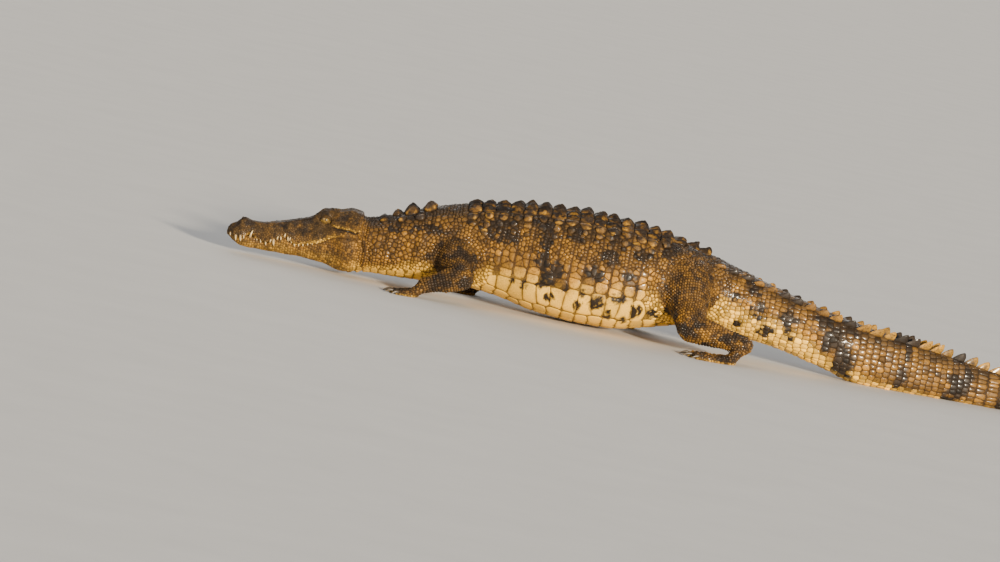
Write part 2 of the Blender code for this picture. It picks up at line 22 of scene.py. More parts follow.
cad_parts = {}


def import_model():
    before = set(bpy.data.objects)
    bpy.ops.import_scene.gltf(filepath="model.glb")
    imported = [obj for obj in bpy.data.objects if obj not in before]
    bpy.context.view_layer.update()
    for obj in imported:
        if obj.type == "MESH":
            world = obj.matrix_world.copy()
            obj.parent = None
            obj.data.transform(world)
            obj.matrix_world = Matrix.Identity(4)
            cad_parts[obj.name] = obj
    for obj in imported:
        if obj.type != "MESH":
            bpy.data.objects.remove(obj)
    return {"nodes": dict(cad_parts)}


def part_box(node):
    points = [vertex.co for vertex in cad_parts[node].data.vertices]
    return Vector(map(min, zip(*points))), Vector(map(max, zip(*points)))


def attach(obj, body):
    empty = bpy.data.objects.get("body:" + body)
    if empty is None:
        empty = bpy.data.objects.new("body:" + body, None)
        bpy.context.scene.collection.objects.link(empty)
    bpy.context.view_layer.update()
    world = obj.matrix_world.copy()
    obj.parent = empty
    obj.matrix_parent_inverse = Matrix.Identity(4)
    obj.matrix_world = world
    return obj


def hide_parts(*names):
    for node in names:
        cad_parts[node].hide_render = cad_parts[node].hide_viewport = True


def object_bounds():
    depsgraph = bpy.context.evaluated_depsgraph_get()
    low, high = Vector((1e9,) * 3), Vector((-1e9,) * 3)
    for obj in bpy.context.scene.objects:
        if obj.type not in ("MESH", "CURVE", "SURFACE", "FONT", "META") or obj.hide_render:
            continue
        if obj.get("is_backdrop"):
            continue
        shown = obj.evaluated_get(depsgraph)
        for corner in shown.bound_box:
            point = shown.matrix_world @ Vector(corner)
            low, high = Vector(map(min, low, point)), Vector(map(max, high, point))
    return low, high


log = logging.getLogger("crocodile")
Array = np.ndarray
Socket = bpy.types.NodeSocket

COAT = 0.0025  # depth of the scales: the skin lies this far inside the solids
NECK, VENT, TAIL_TIP = 0.5, 1.82, 3.6  # places along the spine
FIRST_ROW, ROW, TRUNK_ROWS = 0.875, 0.0525, 18  # first cross row of back shields, their pitch and number
LAST_DOUBLE = FIRST_ROW + 36 * ROW
MID_BODY = -0.5  # between the fore and the hind legs, in the frame's own lengthwise places
UV_METRES, UV_EDGE, UV_BODY = 4.0, 0.02, 0.7  # the unwrap: metres across it, its margin, the line of the back
FLOOR_GAP = 0.0006  # the skin stays this far above the floor
FAR = 9.0  # farther than anything here


# ---- Curves and noise ----
def metres(*rows: tuple) -> tuple:
    """Rows of millimetres as rows of metres."""
    return tuple(tuple(x / 1000 for x in row) for row in rows)


class Track:
    """Monotone cubic curve through one column of a table of stations."""

    def __init__(self, table: tuple, column: int) -> None:
        """Works out the slopes.

        Args:
            table: rows of numbers, the first of each being the place.
            column: which number of the row the curve follows.
        """
        self.x, self.y = (np.array([row[c] for row in table], float) for c in (0, column))
        step, rise = np.diff(self.x), np.diff(self.y) / np.diff(self.x)
        first, second = rise[:-1], rise[1:]
        before, after = 2 * step[1:] + step[:-1], step[1:] + 2 * step[:-1]
        same = first * second > 0
        safe = np.where(same, before / np.where(same, first, 1) + after / np.where(same, second, 1), 1)
        middle = np.where(same, (before + after) / safe, 0)
        self.step, self.slope = step, np.concatenate([rise[:1], middle, rise[-1:]])

    def __call__(self, at: Array | float) -> Array:
        """Value of the curve, held level past its ends."""
        x = np.clip(np.asarray(at, float), self.x[0], self.x[-1])
        i = np.clip(np.searchsorted(self.x, x, side="right") - 1, 0, len(self.step) - 1)
        h, t = self.step[i], (x - self.x[i]) / self.step[i]
        return (
            (1 + 2 * t) * (1 - t) ** 2 * self.y[i]
            + t * (1 - t) ** 2 * h * self.slope[i]
            + t * t * (3 - 2 * t) * self.y[i + 1]
            + t * t * (t - 1) * h * self.slope[i + 1]
        )


def ease(low: float, high: float, x: Array) -> Array:
    """Smooth step from 0 at low to 1 at high."""
    t = np.clip((x - low) / (high - low), 0, 1)
    return t * t * (3 - 2 * t)


def hump(x: Array, width: float) -> Array:
    """Bell curve of height 1 at 0."""
    return np.exp(-((x / width) ** 2))


def share(x: Array, low: float = 0.0, high: float = 1.0) -> Array:
    """x kept between two limits."""
    return np.clip(x, low, high)


def grain(points: Array, size: float, seed: int = 0) -> Array:
    """Smooth random field from -1 to 1.

    Args:
        points: places, one row each.
        size: distance over which the field changes.
        seed: picks another field.

    Returns:
        One value for each point.
    """
    p = points / size + seed * 17.31
    cell = np.floor(p).astype(np.int64)
    t = p - cell
    t = t * t * (3 - 2 * t)
    total = np.zeros(len(points))
    for corner in range(8):
        offset = np.array([corner & 1, (corner >> 1) & 1, (corner >> 2) & 1])
        c = cell + offset
        mixed = (c[:, 0] * 73856093) ^ (c[:, 1] * 19349663) ^ (c[:, 2] * 83492791) ^ (seed * 2654435)
        mixed = (mixed ^ (mixed >> 13)) * 1274126177
        value = ((mixed ^ (mixed >> 16)) & 0xFFFF) / 32767.5 - 1
        total += np.prod(np.where(offset == 1, t, 1 - t), axis=1) * value
    return total


def unit(v: Array) -> Array:
    """Rows scaled to length 1."""
    return v / np.maximum(np.linalg.norm(v, axis=-1, keepdims=True), 1e-12)


def run_of(path: Array) -> Array:
    """Distance along a line of points, from 0 at the first."""
    return np.concatenate([[0], np.cumsum(np.linalg.norm(np.diff(path, axis=0), axis=1))])


# ---- The form of the animal ----
HEAD = metres(
    # s, half width of lips, ridge and jaw, height of middle, ridge and chin, bulge of cheek
    (0, 14, 6, 11, 90, 88, 62, 0),
    (10, 31, 14, 27, 103, 100, 56, 2),
    (30, 46, 24, 40, 117, 114, 44, 3),
    (55, 52, 30, 43, 134, 131, 34, 1),
    (88, 43.5, 31, 48, 131, 128, 29, 1),
    (125, 53, 36, 44, 133, 131, 31, 3),
    (180, 63, 41, 53, 148, 147, 32, 5),
    (250, 68, 43, 59, 168, 171, 35, 3),
    (305, 77, 50, 68, 187, 193, 37, 1),
    (340, 87, 58, 78, 199, 222, 37, -2),
    (375, 98, 60, 90, 210, 236, 36, -3),
    (410, 112, 67, 106, 229, 240, 29, -2),
    (450, 128, 76, 125, 243, 252, 20, 4),
    (475, 132, 79, 130, 240, 248, 21, 10),
    (500, 131, 78, 130, 230, 232, 24, 16),
)
LIPS = metres(
    # s, height of upper and lower lip
    (0, 74, 73), (25, 65, 64), (50, 68, 67), (72, 72, 70), (88, 99, 72), (106, 72, 70), (150, 66, 65),
    (185, 85, 84), (222, 104, 103), (260, 83, 82), (300, 93, 92), (352, 111, 110), (410, 143, 142), (500, 150, 149),
)
BODY = metres(
    # s, half width, height of top, widest and bottom, squareness above and below in thousandths
    (500, 129, 232, 125, 24, 2300, 2600),
    (560, 138, 246, 130, 30, 2300, 2500),
    (640, 150, 282, 145, 33, 2200, 2400),
    (720, 160, 314, 165, 38, 2200, 2300),
    (800, 168, 343, 180, 44, 2200, 2300),
    (900, 184, 369, 190, 54, 2400, 2300),
    (1040, 208, 395, 195, 44, 2500, 2400),
    (1200, 238, 414, 190, 16, 2500, 2500),
    (1350, 256, 422, 185, 8, 2500, 2600),
    (1480, 252, 420, 190, 12, 2500, 2600),
    (1600, 226, 408, 205, 36, 2500, 2400),
    (1730, 184, 384, 220, 72, 2500, 2300),
    (1850, 152, 357, 215, 98, 2600, 2300),
    (1960, 134, 327, 190, 84, 2700, 2300),
    (2100, 117, 290, 165, 72, 2800, 2300),
    (2300, 97, 244, 125, 34, 2800, 2300),
    (2480, 81, 213, 85, -5, 2700, 2500),
    (2700, 64, 180, 62, -6, 2400, 2600),
    (2950, 48, 143, 48, -5, 2200, 2600),
    (3200, 34, 102, 36, -4, 2100, 2500),
    (3420, 21, 63, 24, -3, 2000, 2400),
    (3600, 4, 14, 7, -1, 2000, 2000),
)
KEELS = metres((860, 10), (1000, 14), (1600, 15), (1850, 22), (2300, 34), (2700, 42), (3100, 36), (3450, 20), (3600, 2))
UPPER_TEETH = metres(
    # s, length, radius
    (12, 10, 3.2), (34, 20, 4.4), (52, 22, 4.6), (64, 12, 3.4), (115, 8, 2.8), (130, 11, 3.4), (150, 14, 3.8),
    (178, 24, 5.0), (203, 14, 4.0), (230, 18, 4.2), (245, 10, 3.2), (258, 13, 3.8), (274, 11, 3.4), (290, 12, 3.6),
    (307, 10, 3.2), (324, 9, 3.0), (341, 7, 2.8),
)
LOWER_TEETH = metres((88.5, 29, 4.6), (167, 11, 3.0), (191, 12, 3.1), (216, 14, 3.5), (238, 11, 3.1))


@dataclass
class Spine:
    """Centre line of the body in plan: straight, then a slow swing of the tail."""

    origin: Array
    start: float = 2.3
    angle: float = 0.34
    waves: float = 1.45

    def __post_init__(self) -> None:
        """Adds up the swing along the tail once."""
        step = 0.001
        self.s = np.arange(self.start, TAIL_TIP + 0.1, step)
        turn = self.heading(self.s)[:-1]
        self.x = self.start + np.concatenate([[0], np.cumsum(np.cos(turn) * step)])
        self.y = np.concatenate([[0], np.cumsum(np.sin(turn) * step)])

    def heading(self, s: Array) -> Array:
        """Heading of the spine, in radians to the right of straight back."""
        t = share((s - self.start) / (TAIL_TIP - self.start))
        return self.angle * np.sin(math.pi * t * self.waves)

    def place(self, s: Array, side: Array, level: Array, back: Array | float = 0.0) -> Array:
        """World points at a side and level in the cross sections at s.

        Args:
            s: distances along the spine.
            side: distances from the midplane.
            level: heights.
            back: distances behind the section.

        Returns:
            One row for each point.
        """
        x = np.where(s < self.start, s, np.interp(s, self.s, self.x))
        y = np.where(s < self.start, 0.0, np.interp(s, self.s, self.y))
        h, (x0, y0, z0) = self.heading(s), self.origin
        return np.stack([x - np.sin(h) * side + np.cos(h) * back + x0,
                         y + np.cos(h) * side + np.sin(h) * back + y0, level + z0], axis=-1)


class BodyForm:
    """Smooth surface of head, neck, trunk and tail, looked up by s and q."""

    STEPS = 128  # of q round half a section
    HALF = STEPS // 2
    JOIN = 0.56  # where the neck's own sections begin

    def __init__(self, spine: Spine) -> None:
        """Tabulates the half sections along the body.

        Args:
            spine: the centre line.
        """
        self.spine, self.origin = spine, spine.origin
        self.head = [Track(HEAD, c) for c in range(1, 8)]
        self.body = [Track(BODY, c) for c in range(1, 7)]
        self.lip, self.jaw, self.half, self.keel = self.head[0], self.head[2], self.body[0], Track(KEELS, 1)
        self.upper_lip, self.lower_lip = Track(LIPS, 1), Track(LIPS, 2)
        self.s = np.concatenate([np.arange(0, self.JOIN, 0.002), np.arange(self.JOIN, TAIL_TIP + 0.004, 0.008)])
        self.q = np.linspace(0, 1, self.STEPS + 1)
        rows = [self.section(float(s)) for s in self.s]
        self.side, self.level = (np.array([row[k] for row in rows]) for k in (0, 1))
        steps = np.hypot(np.diff(self.side, axis=1), np.diff(self.level, axis=1))
        self.arc = np.concatenate([np.zeros((len(rows), 1)), np.cumsum(steps, axis=1)], axis=1)

    def section(self, s: float) -> tuple[Array, Array]:
        """Side and level of one half section, at even steps of q."""
        body = self.body_section(s)
        if s > self.JOIN:
            return body
        part = float(ease(0.48, 0.535, np.array(s)))
        return tuple(h * (1 - part) + b * part for h, b in zip(self.head_section(s), body))

    def body_section(self, s: float) -> tuple[Array, Array]:
        """A rounded box, flatter above and below than at the sides.

        Args:
            s: distance along the spine.

        Returns:
            Sides and heights of half of it.
        """
        half, top, wide, low, square_up, square_low = (float(t(s)) for t in self.body)
        steps = 120
        angle = np.linspace(math.pi / 2, -math.pi / 2, 2 * steps + 1)
        up = angle >= 0
        power = np.where(up, 2 / square_up, 2 / square_low)
        half, top, low = half - min(COAT, half * 0.3), top - COAT, low + COAT
        side = half * np.abs(np.cos(angle)) ** power
        level = wide + np.sign(angle) * np.where(up, top - wide, wide - low) * np.abs(np.sin(angle)) ** power
        return self.even(side, level, steps)

    def head_section(self, s: float) -> tuple[Array, Array]:
        """Skull roof, cheek, lips with the crease between, and the jaw.

        Args:
            s: distance along the spine.

        Returns:
            Sides and heights of half of it.
        """
        lip, ridge, jaw, mid, top, chin, cheek = (float(t(s)) for t in self.head)
        edge, low = float(self.upper_lip(s)), float(self.lower_lip(s))
        roof = [
            (0.0, mid),
            (ridge * 0.55, mid + (top - mid) * 0.35),
            (ridge * 0.93, top),
            (ridge + (lip - ridge) * 0.12 + cheek * 0.3, top * 0.86 + edge * 0.14),
            (ridge + (lip - ridge) * 0.62 + cheek, top * 0.5 + edge * 0.5),
            (lip + cheek * 0.3, top * 0.22 + edge * 0.78),
            (lip, edge + 0.0025),
            (lip - 0.0015, edge),
        ]
        jowl = [
            (jaw - 0.0015, low),
            (jaw, low - 0.003),
            (jaw, low * 0.72 + chin * 0.28),
            (jaw * 0.93, low * 0.36 + chin * 0.64),
            (jaw * 0.7, low * 0.06 + chin * 0.94),
            (jaw * 0.3, chin),
            (0.0, chin),
        ]
        gape = 1 - float(ease(0.405, 0.445, np.array(s)))
        crease = ((min(lip, jaw) - 0.008) * gape + (lip + jaw) / 2 * (1 - gape),
                  (edge + low) / 2 if edge - low < 0.01 else low + 0.004)
        above, below = self.rounded(roof), self.rounded(jowl)
        side, level = (np.concatenate([above[k], [crease[k]], below[k]]) for k in (0, 1))
        return self.even(side, level, len(above[0]))

    @staticmethod
    def rounded(points: list) -> tuple[Array, Array]:
        """A smooth curve through the points, as many short steps.

        Args:
            points: pairs of side and height.

        Returns:
            Sides and heights of the steps.
        """
        p = np.array(points, float)
        run = np.concatenate([[0], np.cumsum(np.maximum(np.hypot(*np.diff(p, axis=0).T), 1e-6))])
        at = np.linspace(0, run[-1], 90)
        return tuple(Track(tuple(zip(run, p[:, c])), 1)(at) for c in (0, 1))

    def even(self, side: Array, level: Array, middle: int) -> tuple[Array, Array]:
        """Resamples so that the point numbered middle has q = 0.5.

        Args:
            side: sides of the points.
            level: their heights.
            middle: number of the point on the crease or the widest line.

        Returns:
            Sides and heights at even steps of q.
        """
        run = np.concatenate([[0], np.cumsum(np.hypot(np.diff(side), np.diff(level)))])
        at = np.concatenate([np.linspace(0, run[middle], self.HALF + 1),
                             np.linspace(run[middle], run[-1], self.HALF + 1)[1:]])
        return np.interp(at, run, side), np.interp(at, run, level)

    def look_up(self, table: Array, s: Array, q: Array) -> Array:
        """Value of a table between its rows and columns.

        Args:
            table: one row for each section.
            s: distances along the spine.
            q: places round the section.

        Returns:
            The value at each place.
        """
        s, q = np.broadcast_arrays(np.asarray(s, float), np.abs(np.asarray(q, float)))
        i = np.clip(np.searchsorted(self.s, s, side="right") - 1, 0, len(self.s) - 2)
        t = share((s - self.s[i]) / (self.s[i + 1] - self.s[i]))
        c = share(q) * self.STEPS
        j = np.clip(np.floor(c).astype(int), 0, self.STEPS - 1)
        u = c - j
        return (table[i, j] * (1 - t) + table[i + 1, j] * t) * (1 - u) + (
            table[i, j + 1] * (1 - t) + table[i + 1, j + 1] * t) * u

    def surface(self, s: Array, q: Array) -> Array:
        """World points of the bare skin."""
        side = self.look_up(self.side, s, q) * np.where(np.asarray(q) < 0, -1.0, 1.0)
        return self.spine.place(np.asarray(s, float), side, np.maximum(self.look_up(self.level, s, q), 0.001))

    def girth(self, s: float) -> float:
        """Length of the half section at s."""
        return float(self.look_up(self.arc, np.array(s), np.array(1.0)))

    def row(self, s: float) -> int:
        """Number of the section at s."""
        return int(np.clip(np.searchsorted(self.s, s), 0, len(self.s) - 1))

    def arc_at(self, s: float, q: float) -> float:
        """Distance round the section from the back's midline to q."""
        return float(np.interp(q, self.q, self.arc[self.row(s)]))

    def q_of_arc(self, s: float, arc: Array | float) -> Array:
        """q of the points at these distances from the midline of the back."""
        return np.interp(arc, self.arc[self.row(s)], self.q)

    def q_of_side(self, s: float, side: float) -> float:
        """q of the point of the back at this distance from the midplane."""
        upper = slice(self.HALF + 1)
        return float(np.interp(side, self.side[self.row(s)][upper], self.q[upper]))

    def shield_edge(self, s: float) -> float:
        """Half width of the back that the shields cover."""
        return float(self.half(s)) * 0.62

    def crest_side(self, s: float) -> float:
        """Side of the line of blades on the tail, 0 where there is a single row."""
        if s > LAST_DOUBLE:
            return 0.0
        return float(self.half(s)) * (0.62 - 0.5 * max(0.0, (s - 2.45) / (LAST_DOUBLE - 2.45)))

    def whorls(self, short: float) -> Iterator[float]:
        """Places of the rings of scales on the tail, ending short of its tip."""
        s = VENT + 0.5 * ROW
        while s < TAIL_TIP - short:
            yield s
            s += ROW


# ---- Markings ----
@dataclass(frozen=True)
class Markings:
    """Dark blotches, pale belly and tail bands, shared by the skin and the scales."""

    blotches: tuple = metres(
        # s, level, half length, half height
        (750, 250, 50, 20), (1000, 300, 75, 42), (1120, 370, 30, 22), (1190, 320, 30, 65), (1180, 240, 45, 34),
        (1230, 190, 42, 55), (1440, 290, 36, 36), (1390, 220, 38, 34), (1440, 370, 22, 30), (1520, 240, 36, 16),
        (1560, 200, 18, 14), (1660, 360, 36, 30), (1930, 240, 22, 18), (1770, 240, 14, 20), (1830, 200, 20, 12),
        (2030, 205, 36, 38), (2070, 130, 30, 25), (1960, 140, 18, 18), (2150, 205, 36, 40), (2160, 150, 18, 36),
        (2000, 285, 34, 30), (2285, 215, 34, 38), (2320, 145, 32, 50), (1300, 340, 30, 34), (1550, 330, 34, 30),
        (900, 330, 30, 26), (620, 220, 28, 18),
    )
    belly_spots: tuple = metres(
        # s, level, half size
        (1090, 130, 13), (1140, 120, 18), (1200, 140, 17), (1240, 100, 20), (1350, 90, 17), (1420, 120, 28),
        (1470, 80, 20), (1500, 150, 30), (1570, 110, 22), (1530, 70, 17), (1360, 140, 13), (1290, 150, 16),
        (1640, 120, 16), (1780, 160, 14),
    )
    bands: tuple = (2.37, 2.6, 2.84, 3.07, 3.3, 3.49)
    crest_bands: tuple = (1.76, 1.92, 2.13, 2.37, 2.6, 2.84, 3.07, 3.3, 3.49)

    def dark(self, s: Array, q: Array, level: Array, points: Array) -> Array:
        """How dark the hide is, 0 to 1.

        Args:
            s: distances along the spine.
            q: places round the section, negative on the left.
            level: heights over the floor.
            points: the same places in the world, for the ragged edges.

        Returns:
            The share of dark at each point.
        """
        a, shift = np.abs(q), np.where(q > 0, 0.085, 0.0)  # the right side's marks lie farther forward
        ragged = 1 + 0.6 * grain(points, 0.013, 3) + 0.3 * grain(points, 0.035, 4)
        total = np.zeros(len(s))
        for at, height, long, high in self.blotches:
            away = ((s + shift - at) / long) ** 2 + ((level - height) / high) ** 2
            total = np.maximum(total, share(1.45 * ragged - away, 0, 0.92))
        total *= share(1.0 + 0.95 * grain(points, 0.0095, 5), 0.2)
        broken = share(1.1 + grain(points, 0.008, 28), 0.3)
        for at, height, size in self.belly_spots:
            away = ((s + shift * 0.6 - at) / size) ** 2 + ((level - height) / size) ** 2
            total = np.maximum(total, share(1.7 * ragged - away, 0, 0.9) * broken)
        sway, broken = 0.045 * grain(points, 0.05, 6), share(0.95 + 0.9 * grain(points, 0.03, 27), 0.2)
        for at in self.bands:
            away = ((s + shift * 0.4 + sway - at) / 0.038) ** 2
            total = np.maximum(total, share(1.5 * ragged - away, 0, 0.92) * (0.6 + 0.4 * (a < 0.8)) * broken)
        speckle = share(1.5 * grain(points, 0.011, 11) - 0.62, 0, 0.75) * ease(0.62, 0.5, a)
        fleck = share(1.6 * grain(points, 0.019, 19) - 0.55, 0, 0.7) * ease(0.92, 0.8, s) * ease(0.68, 0.58, a)
        total = np.maximum(total, np.maximum(speckle, fleck) * ease(0.5, 0.56, s))
        back = ease(0.24, 0.1, a) * ease(0.55, 0.7, s) * (1 - ease(1.9, 2.1, s))
        return np.maximum(total, back * share(0.52 + 0.55 * grain(points, 0.016, 8), 0, 0.9))

    def pale(self, s: Array, q: Array, points: Array) -> Array:
        """How pale the hide is, 0 on the back to 1 on the belly.

        Args:
            s: distances along the spine.
            q: places round the section.
            points: the same places in the world.

        Returns:
            The share of cream at each point.
        """
        edge = np.interp(s, [0, 0.3, 0.45, 0.6, 0.85, 1.0, 1.35, 1.7, 1.85, 2.2, 2.35, 2.8, 3.6],
                         [0.6, 0.66, 0.72, 0.68, 0.62, 0.575, 0.548, 0.545, 0.505, 0.465, 0.68, 0.8, 0.86])
        soft = np.abs(q) + 0.035 * grain(points, 0.05, 9) + 0.02 * grain(points, 0.018, 10)
        return ease(-0.075, 0.085, soft - edge)

    def at(self, s: Array, q: Array, points: Array, on_leg: Array) -> tuple[Array, Array, Array]:
        """Dark, pale and olive shares at points of the body or the legs.

        Args:
            s: distance along the spine.
            q: place round the section.
            points: world places.
            on_leg: 1 well down a leg, 0 on the body, between the two near a shoulder or hip.

        Returns:
            The three shares.
        """
        a, z = np.abs(q), points[:, 2]
        dark, pale = self.dark(s, q, z, points), self.pale(s, q, points)
        face = 1 - ease(0.46, 0.54, s)
        olive = share(ease(0.46, 0.14, a) * 0.95 + 0.34 * grain(points, 0.05, 12)) * ease(0.46, 0.53, s)
        roof = ease(0.52, 0.4, a) + 0.3 * grain(points, 0.022, 13)
        olive = np.maximum(olive, face * share(np.maximum(roof, 0.56 + 0.34 * grain(points, 0.026, 20))))
        olive = np.maximum(olive, 0.42 * ease(2.25, 2.6, s) * (1 - pale))
        throat = ease(0.49, 0.53, s) * ease(0.9, 0.72, s) * ease(0.7, 0.6, a)
        olive = np.maximum(olive, throat * share(0.32 + 0.4 * grain(points, 0.025, 26)))
        lips = face * hump(a - 0.47, 0.026) * ease(0.016, 0.04, s) * (1 - ease(0.37, 0.43, s))
        pale = np.maximum(pale * (1 - face * 0.86 * ease(0.94, 0.8, a)), 0.72 * lips)
        olive = olive * (1 - 0.9 * lips)
        nape = share(1.15 * ease(0.34, 0.12, a) + 0.3 * grain(points, 0.03, 18))
        nape = nape * ease(0.455, 0.5, s) * (1 - ease(0.7, 0.86, s))
        blots = share(0.58 * ease(0.38, 0.16, a) + 0.75 * grain(points, 0.018, 14) - 0.13, 0, 0.85) * (a < 0.475)
        jowl = share(1.3 * grain(points, 0.02, 17) - 0.35, 0, 0.7)
        jowl = jowl * ease(0.5, 0.56, a) * ease(0.95, 0.8, a) * ease(0.3, 0.4, s)
        dark = np.maximum(dark * (1 - face) + face * np.maximum(blots, jowl), 0.74 * nape)
        # Painted light at the ear flap: a highlight along its lower edge and shadow in the slot below it.
        _, edge, under = flap_lines(s, z, a)
        pale, olive = np.maximum(pale, 0.42 * edge), olive * (1 - 0.55 * edge)
        dark = np.maximum(dark * (1 - 0.7 * edge), 0.9 * under)
        hind, sole = points[:, 0] > MID_BODY, on_leg * ease(0.012, 0.003, z)
        leg_dark = np.where(hind, 0.18 + 0.38 * ease(0.2, 0.09, z), 0.54)
        leg_dark = leg_dark + np.where(hind, 0.5, 0.62) * grain(points, 0.04, 15) + 0.3 * grain(points, 0.014, 16)
        dark = (dark * (1 - on_leg) + on_leg * share(leg_dark)) * (1 - 0.75 * sole)
        pale = np.maximum(pale * (1 - on_leg), 0.4 * sole)
        olive = olive * (1 - on_leg) + on_leg * np.where(hind, 0.22, 0.66)
        return share(dark), share(pale), share(olive)


# ---- Mesh helpers ----
def read(items: object, key: str, kind: type = np.float32, wide: int = 1) -> Array:
    """One property of every item of a mesh's list, in rows if it is wide.

    Args:
        items: vertices, edges, loops or the like.
        key: the property.
        kind: type of its numbers.
        wide: how many numbers each item has.

    Returns:
        The numbers.
    """
    found = np.empty(len(items) * wide, kind)
    items.foreach_get(key, found)
    return found.reshape(-1, wide) if wide > 1 else found


def points_of(piece: bpy.types.Object) -> Array:
    """The vertices of a mesh object as rows."""
    return read(piece.data.vertices, "co", wide=3).astype(float)


def move_to(piece: bpy.types.Object, points: Array) -> None:
    """Puts the vertices of a mesh object at these points."""
    piece.data.vertices.foreach_set("co", points.astype(np.float32).ravel())
    piece.data.update()


def value_of(piece: bpy.types.Object, key: str) -> Array:
    """A named number of each vertex."""
    return read(piece.data.attributes[key].data, "value").astype(float)


def set_values(piece: bpy.types.Object, values: dict[str, Array]) -> None:
    """Stores named numbers, one for each vertex."""
    for key, value in values.items():
        layer = piece.data.attributes.new(key, "FLOAT", "POINT")
        layer.data.foreach_set("value", np.asarray(value, np.float32))


def set_unwrap(piece: bpy.types.Object, places: Array) -> None:
    """Stores the place on the unwrap of each corner of the faces."""
    layer = piece.data.uv_layers.new(name="OFBake")
    layer.data.foreach_set("uv", np.asarray(places, np.float32).ravel())


def link_new(name: str, data: object) -> bpy.types.Object:
    """A new object of the scene.

    Args:
        name: its name.
        data: its mesh, light or camera.

    Returns:
        The object.
    """
    made = bpy.data.objects.new(name, data)
    bpy.context.scene.collection.objects.link(made)
    return made


def new_mesh(name: str, points: Array, quads: Array, tris: Array, values: dict[str, Array],
             patch: Array | None = None) -> bpy.types.Object:
    """An object from arrays.

    Args:
        name: name of the object.
        points: its vertices.
        quads: rows of four vertex numbers.
        tris: rows of three vertex numbers.
        values: one number for each vertex, kept as named attributes.
        patch: place of each vertex on the unwrap.

    Returns:
        The object, smooth shaded and linked to the scene.
    """
    corners = np.concatenate([quads.ravel(), tris.ravel()]).astype(np.int32)
    sizes = np.repeat([4, 3], [len(quads), len(tris)])
    mesh = bpy.data.meshes.new(name)
    mesh.vertices.add(len(points))
    mesh.vertices.foreach_set("co", np.asarray(points, np.float32).ravel())
    mesh.loops.add(len(corners))
    mesh.loops.foreach_set("vertex_index", corners)
    mesh.polygons.add(len(sizes))
    mesh.polygons.foreach_set("loop_start", (np.cumsum(sizes) - sizes).astype(np.int32))
    mesh.update(calc_edges=True)
    mesh.polygons.foreach_set("use_smooth", np.ones(len(sizes), bool))
    made = link_new(name, mesh)
    set_values(made, values)
    if patch is not None:
        set_unwrap(made, patch[corners])
    return made


def select_only(*objects: bpy.types.Object) -> None:
    """Selects these objects and nothing else; the first is active."""
    bpy.ops.object.select_all(action="DESELECT")
    for one in objects:
        one.select_set(True)
    bpy.context.view_layer.objects.active = objects[0]


def apply_modifier(piece: bpy.types.Object, kind: str, **settings: object) -> None:
    """Adds a modifier to a piece, sets it and applies it.

    Args:
        piece: the piece.
        kind: type of the modifier.
        settings: its properties.
    """
    select_only(piece)
    added = piece.modifiers.new(kind.lower(), kind)
    for key, value in settings.items():
        setattr(added, key, value)
    bpy.ops.object.modifier_apply(modifier=added.name)


def face_out(piece: bpy.types.Object) -> None:
    """Turns every face of a closed mesh outwards."""
    select_only(piece)
    bpy.ops.object.mode_set(mode="EDIT")
    bpy.ops.mesh.select_all(action="SELECT")
    bpy.ops.mesh.normals_make_consistent(inside=False)
    bpy.ops.object.mode_set(mode="OBJECT")


def tree_of(points: Array) -> KDTree:
    """A search tree over points.

    Args:
        points: places, one row each.

    Returns:
        The tree, which finds their numbers.
    """
    tree = KDTree(len(points))
    for k, point in enumerate(points):
        tree.insert(point, k)
    tree.balance()
    return tree


def tube_faces(rings: int, around: int, ends: tuple[int, int]) -> tuple[Array, Array]:
    """Faces of a closed tube whose points are numbered ring by ring.

    Args:
        rings: number of rings.
        around: number of points in each.
        ends: numbers of the points that close the first ring and the last.

    Returns:
        Quads between the rings, and triangles to the two end points.
    """
    i, j = np.meshgrid(np.arange(rings - 1) * around, np.arange(around), indexing="ij")
    k = (j + 1) % around
    quads = np.stack([i + j, i + k, i + k + around, i + j + around], -1).reshape(-1, 4)
    j, k, last = j[0], k[0], (rings - 1) * around
    fans = [np.stack([k, j, np.full(around, ends[0])], 1), np.stack([last + j, last + k, np.full(around, ends[1])], 1)]
    return quads, np.concatenate(fans)


def loft(rings: Array, ends: Array) -> tuple[Array, Array, Array]:
    """Points, quads and triangles of a closed tube.

    Args:
        rings: its points, ring by ring.
        ends: the points that close the first ring and the last.

    Returns:
        All its points, its quads and its triangles.
    """
    count = rings.shape[0] * rings.shape[1]
    points = np.concatenate([rings.reshape(-1, 3), ends])
    return points, *tube_faces(*rings.shape[:2], (count, count + 1))


def join(meshes: list) -> list[Array]:
    """Joins lists of points and faces, numbering the faces on.

    Args:
        meshes: for each mesh its points, then any number of tables of faces.

    Returns:
        All the points, then each table of faces of them all.
    """
    first = np.cumsum([0] + [len(mesh[0]) for mesh in meshes])
    faces = [np.concatenate([mesh[k] + n for mesh, n in zip(meshes, first)]) for k in range(1, len(meshes[0]))]
    return [np.concatenate([mesh[0] for mesh in meshes]), *faces]


def near_line(points: Array, lines: list) -> tuple[Array, Array]:
    """Number of the line nearest to each point, and the direction of that line.

    Args:
        points: places, one row each.
        lines: pairs of end points.

    Returns:
        The two, for each point.
    """
    best, which = np.full(len(points), FAR), np.zeros(len(points), int)
    for k, (a, b) in enumerate(lines):
        t = share(((points - a) @ (b - a)) / ((b - a) @ (b - a)))
        away = np.linalg.norm(points - (a + t[:, None] * (b - a)), axis=1)
        which, best = np.where(away < best, k, which), np.minimum(away, best)
    return which, np.array([unit(b - a) for a, b in lines])[which]


def hand_over(piece: bpy.types.Object, finish: bpy.types.Material, nodes: list[str] | None = None) -> None:
    """Dresses the piece in its finish, rides it on the part, and hides the solids it stands for.

    Args:
        piece: the piece.
        finish: its material.
        nodes: solids that it replaces, if any.
    """
    piece.data.materials.clear()
    piece.data.materials.append(finish)
    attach(piece, "root")
    if nodes:
        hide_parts(*nodes)
    log.info("%s: %d faces", piece.name, len(piece.data.polygons))


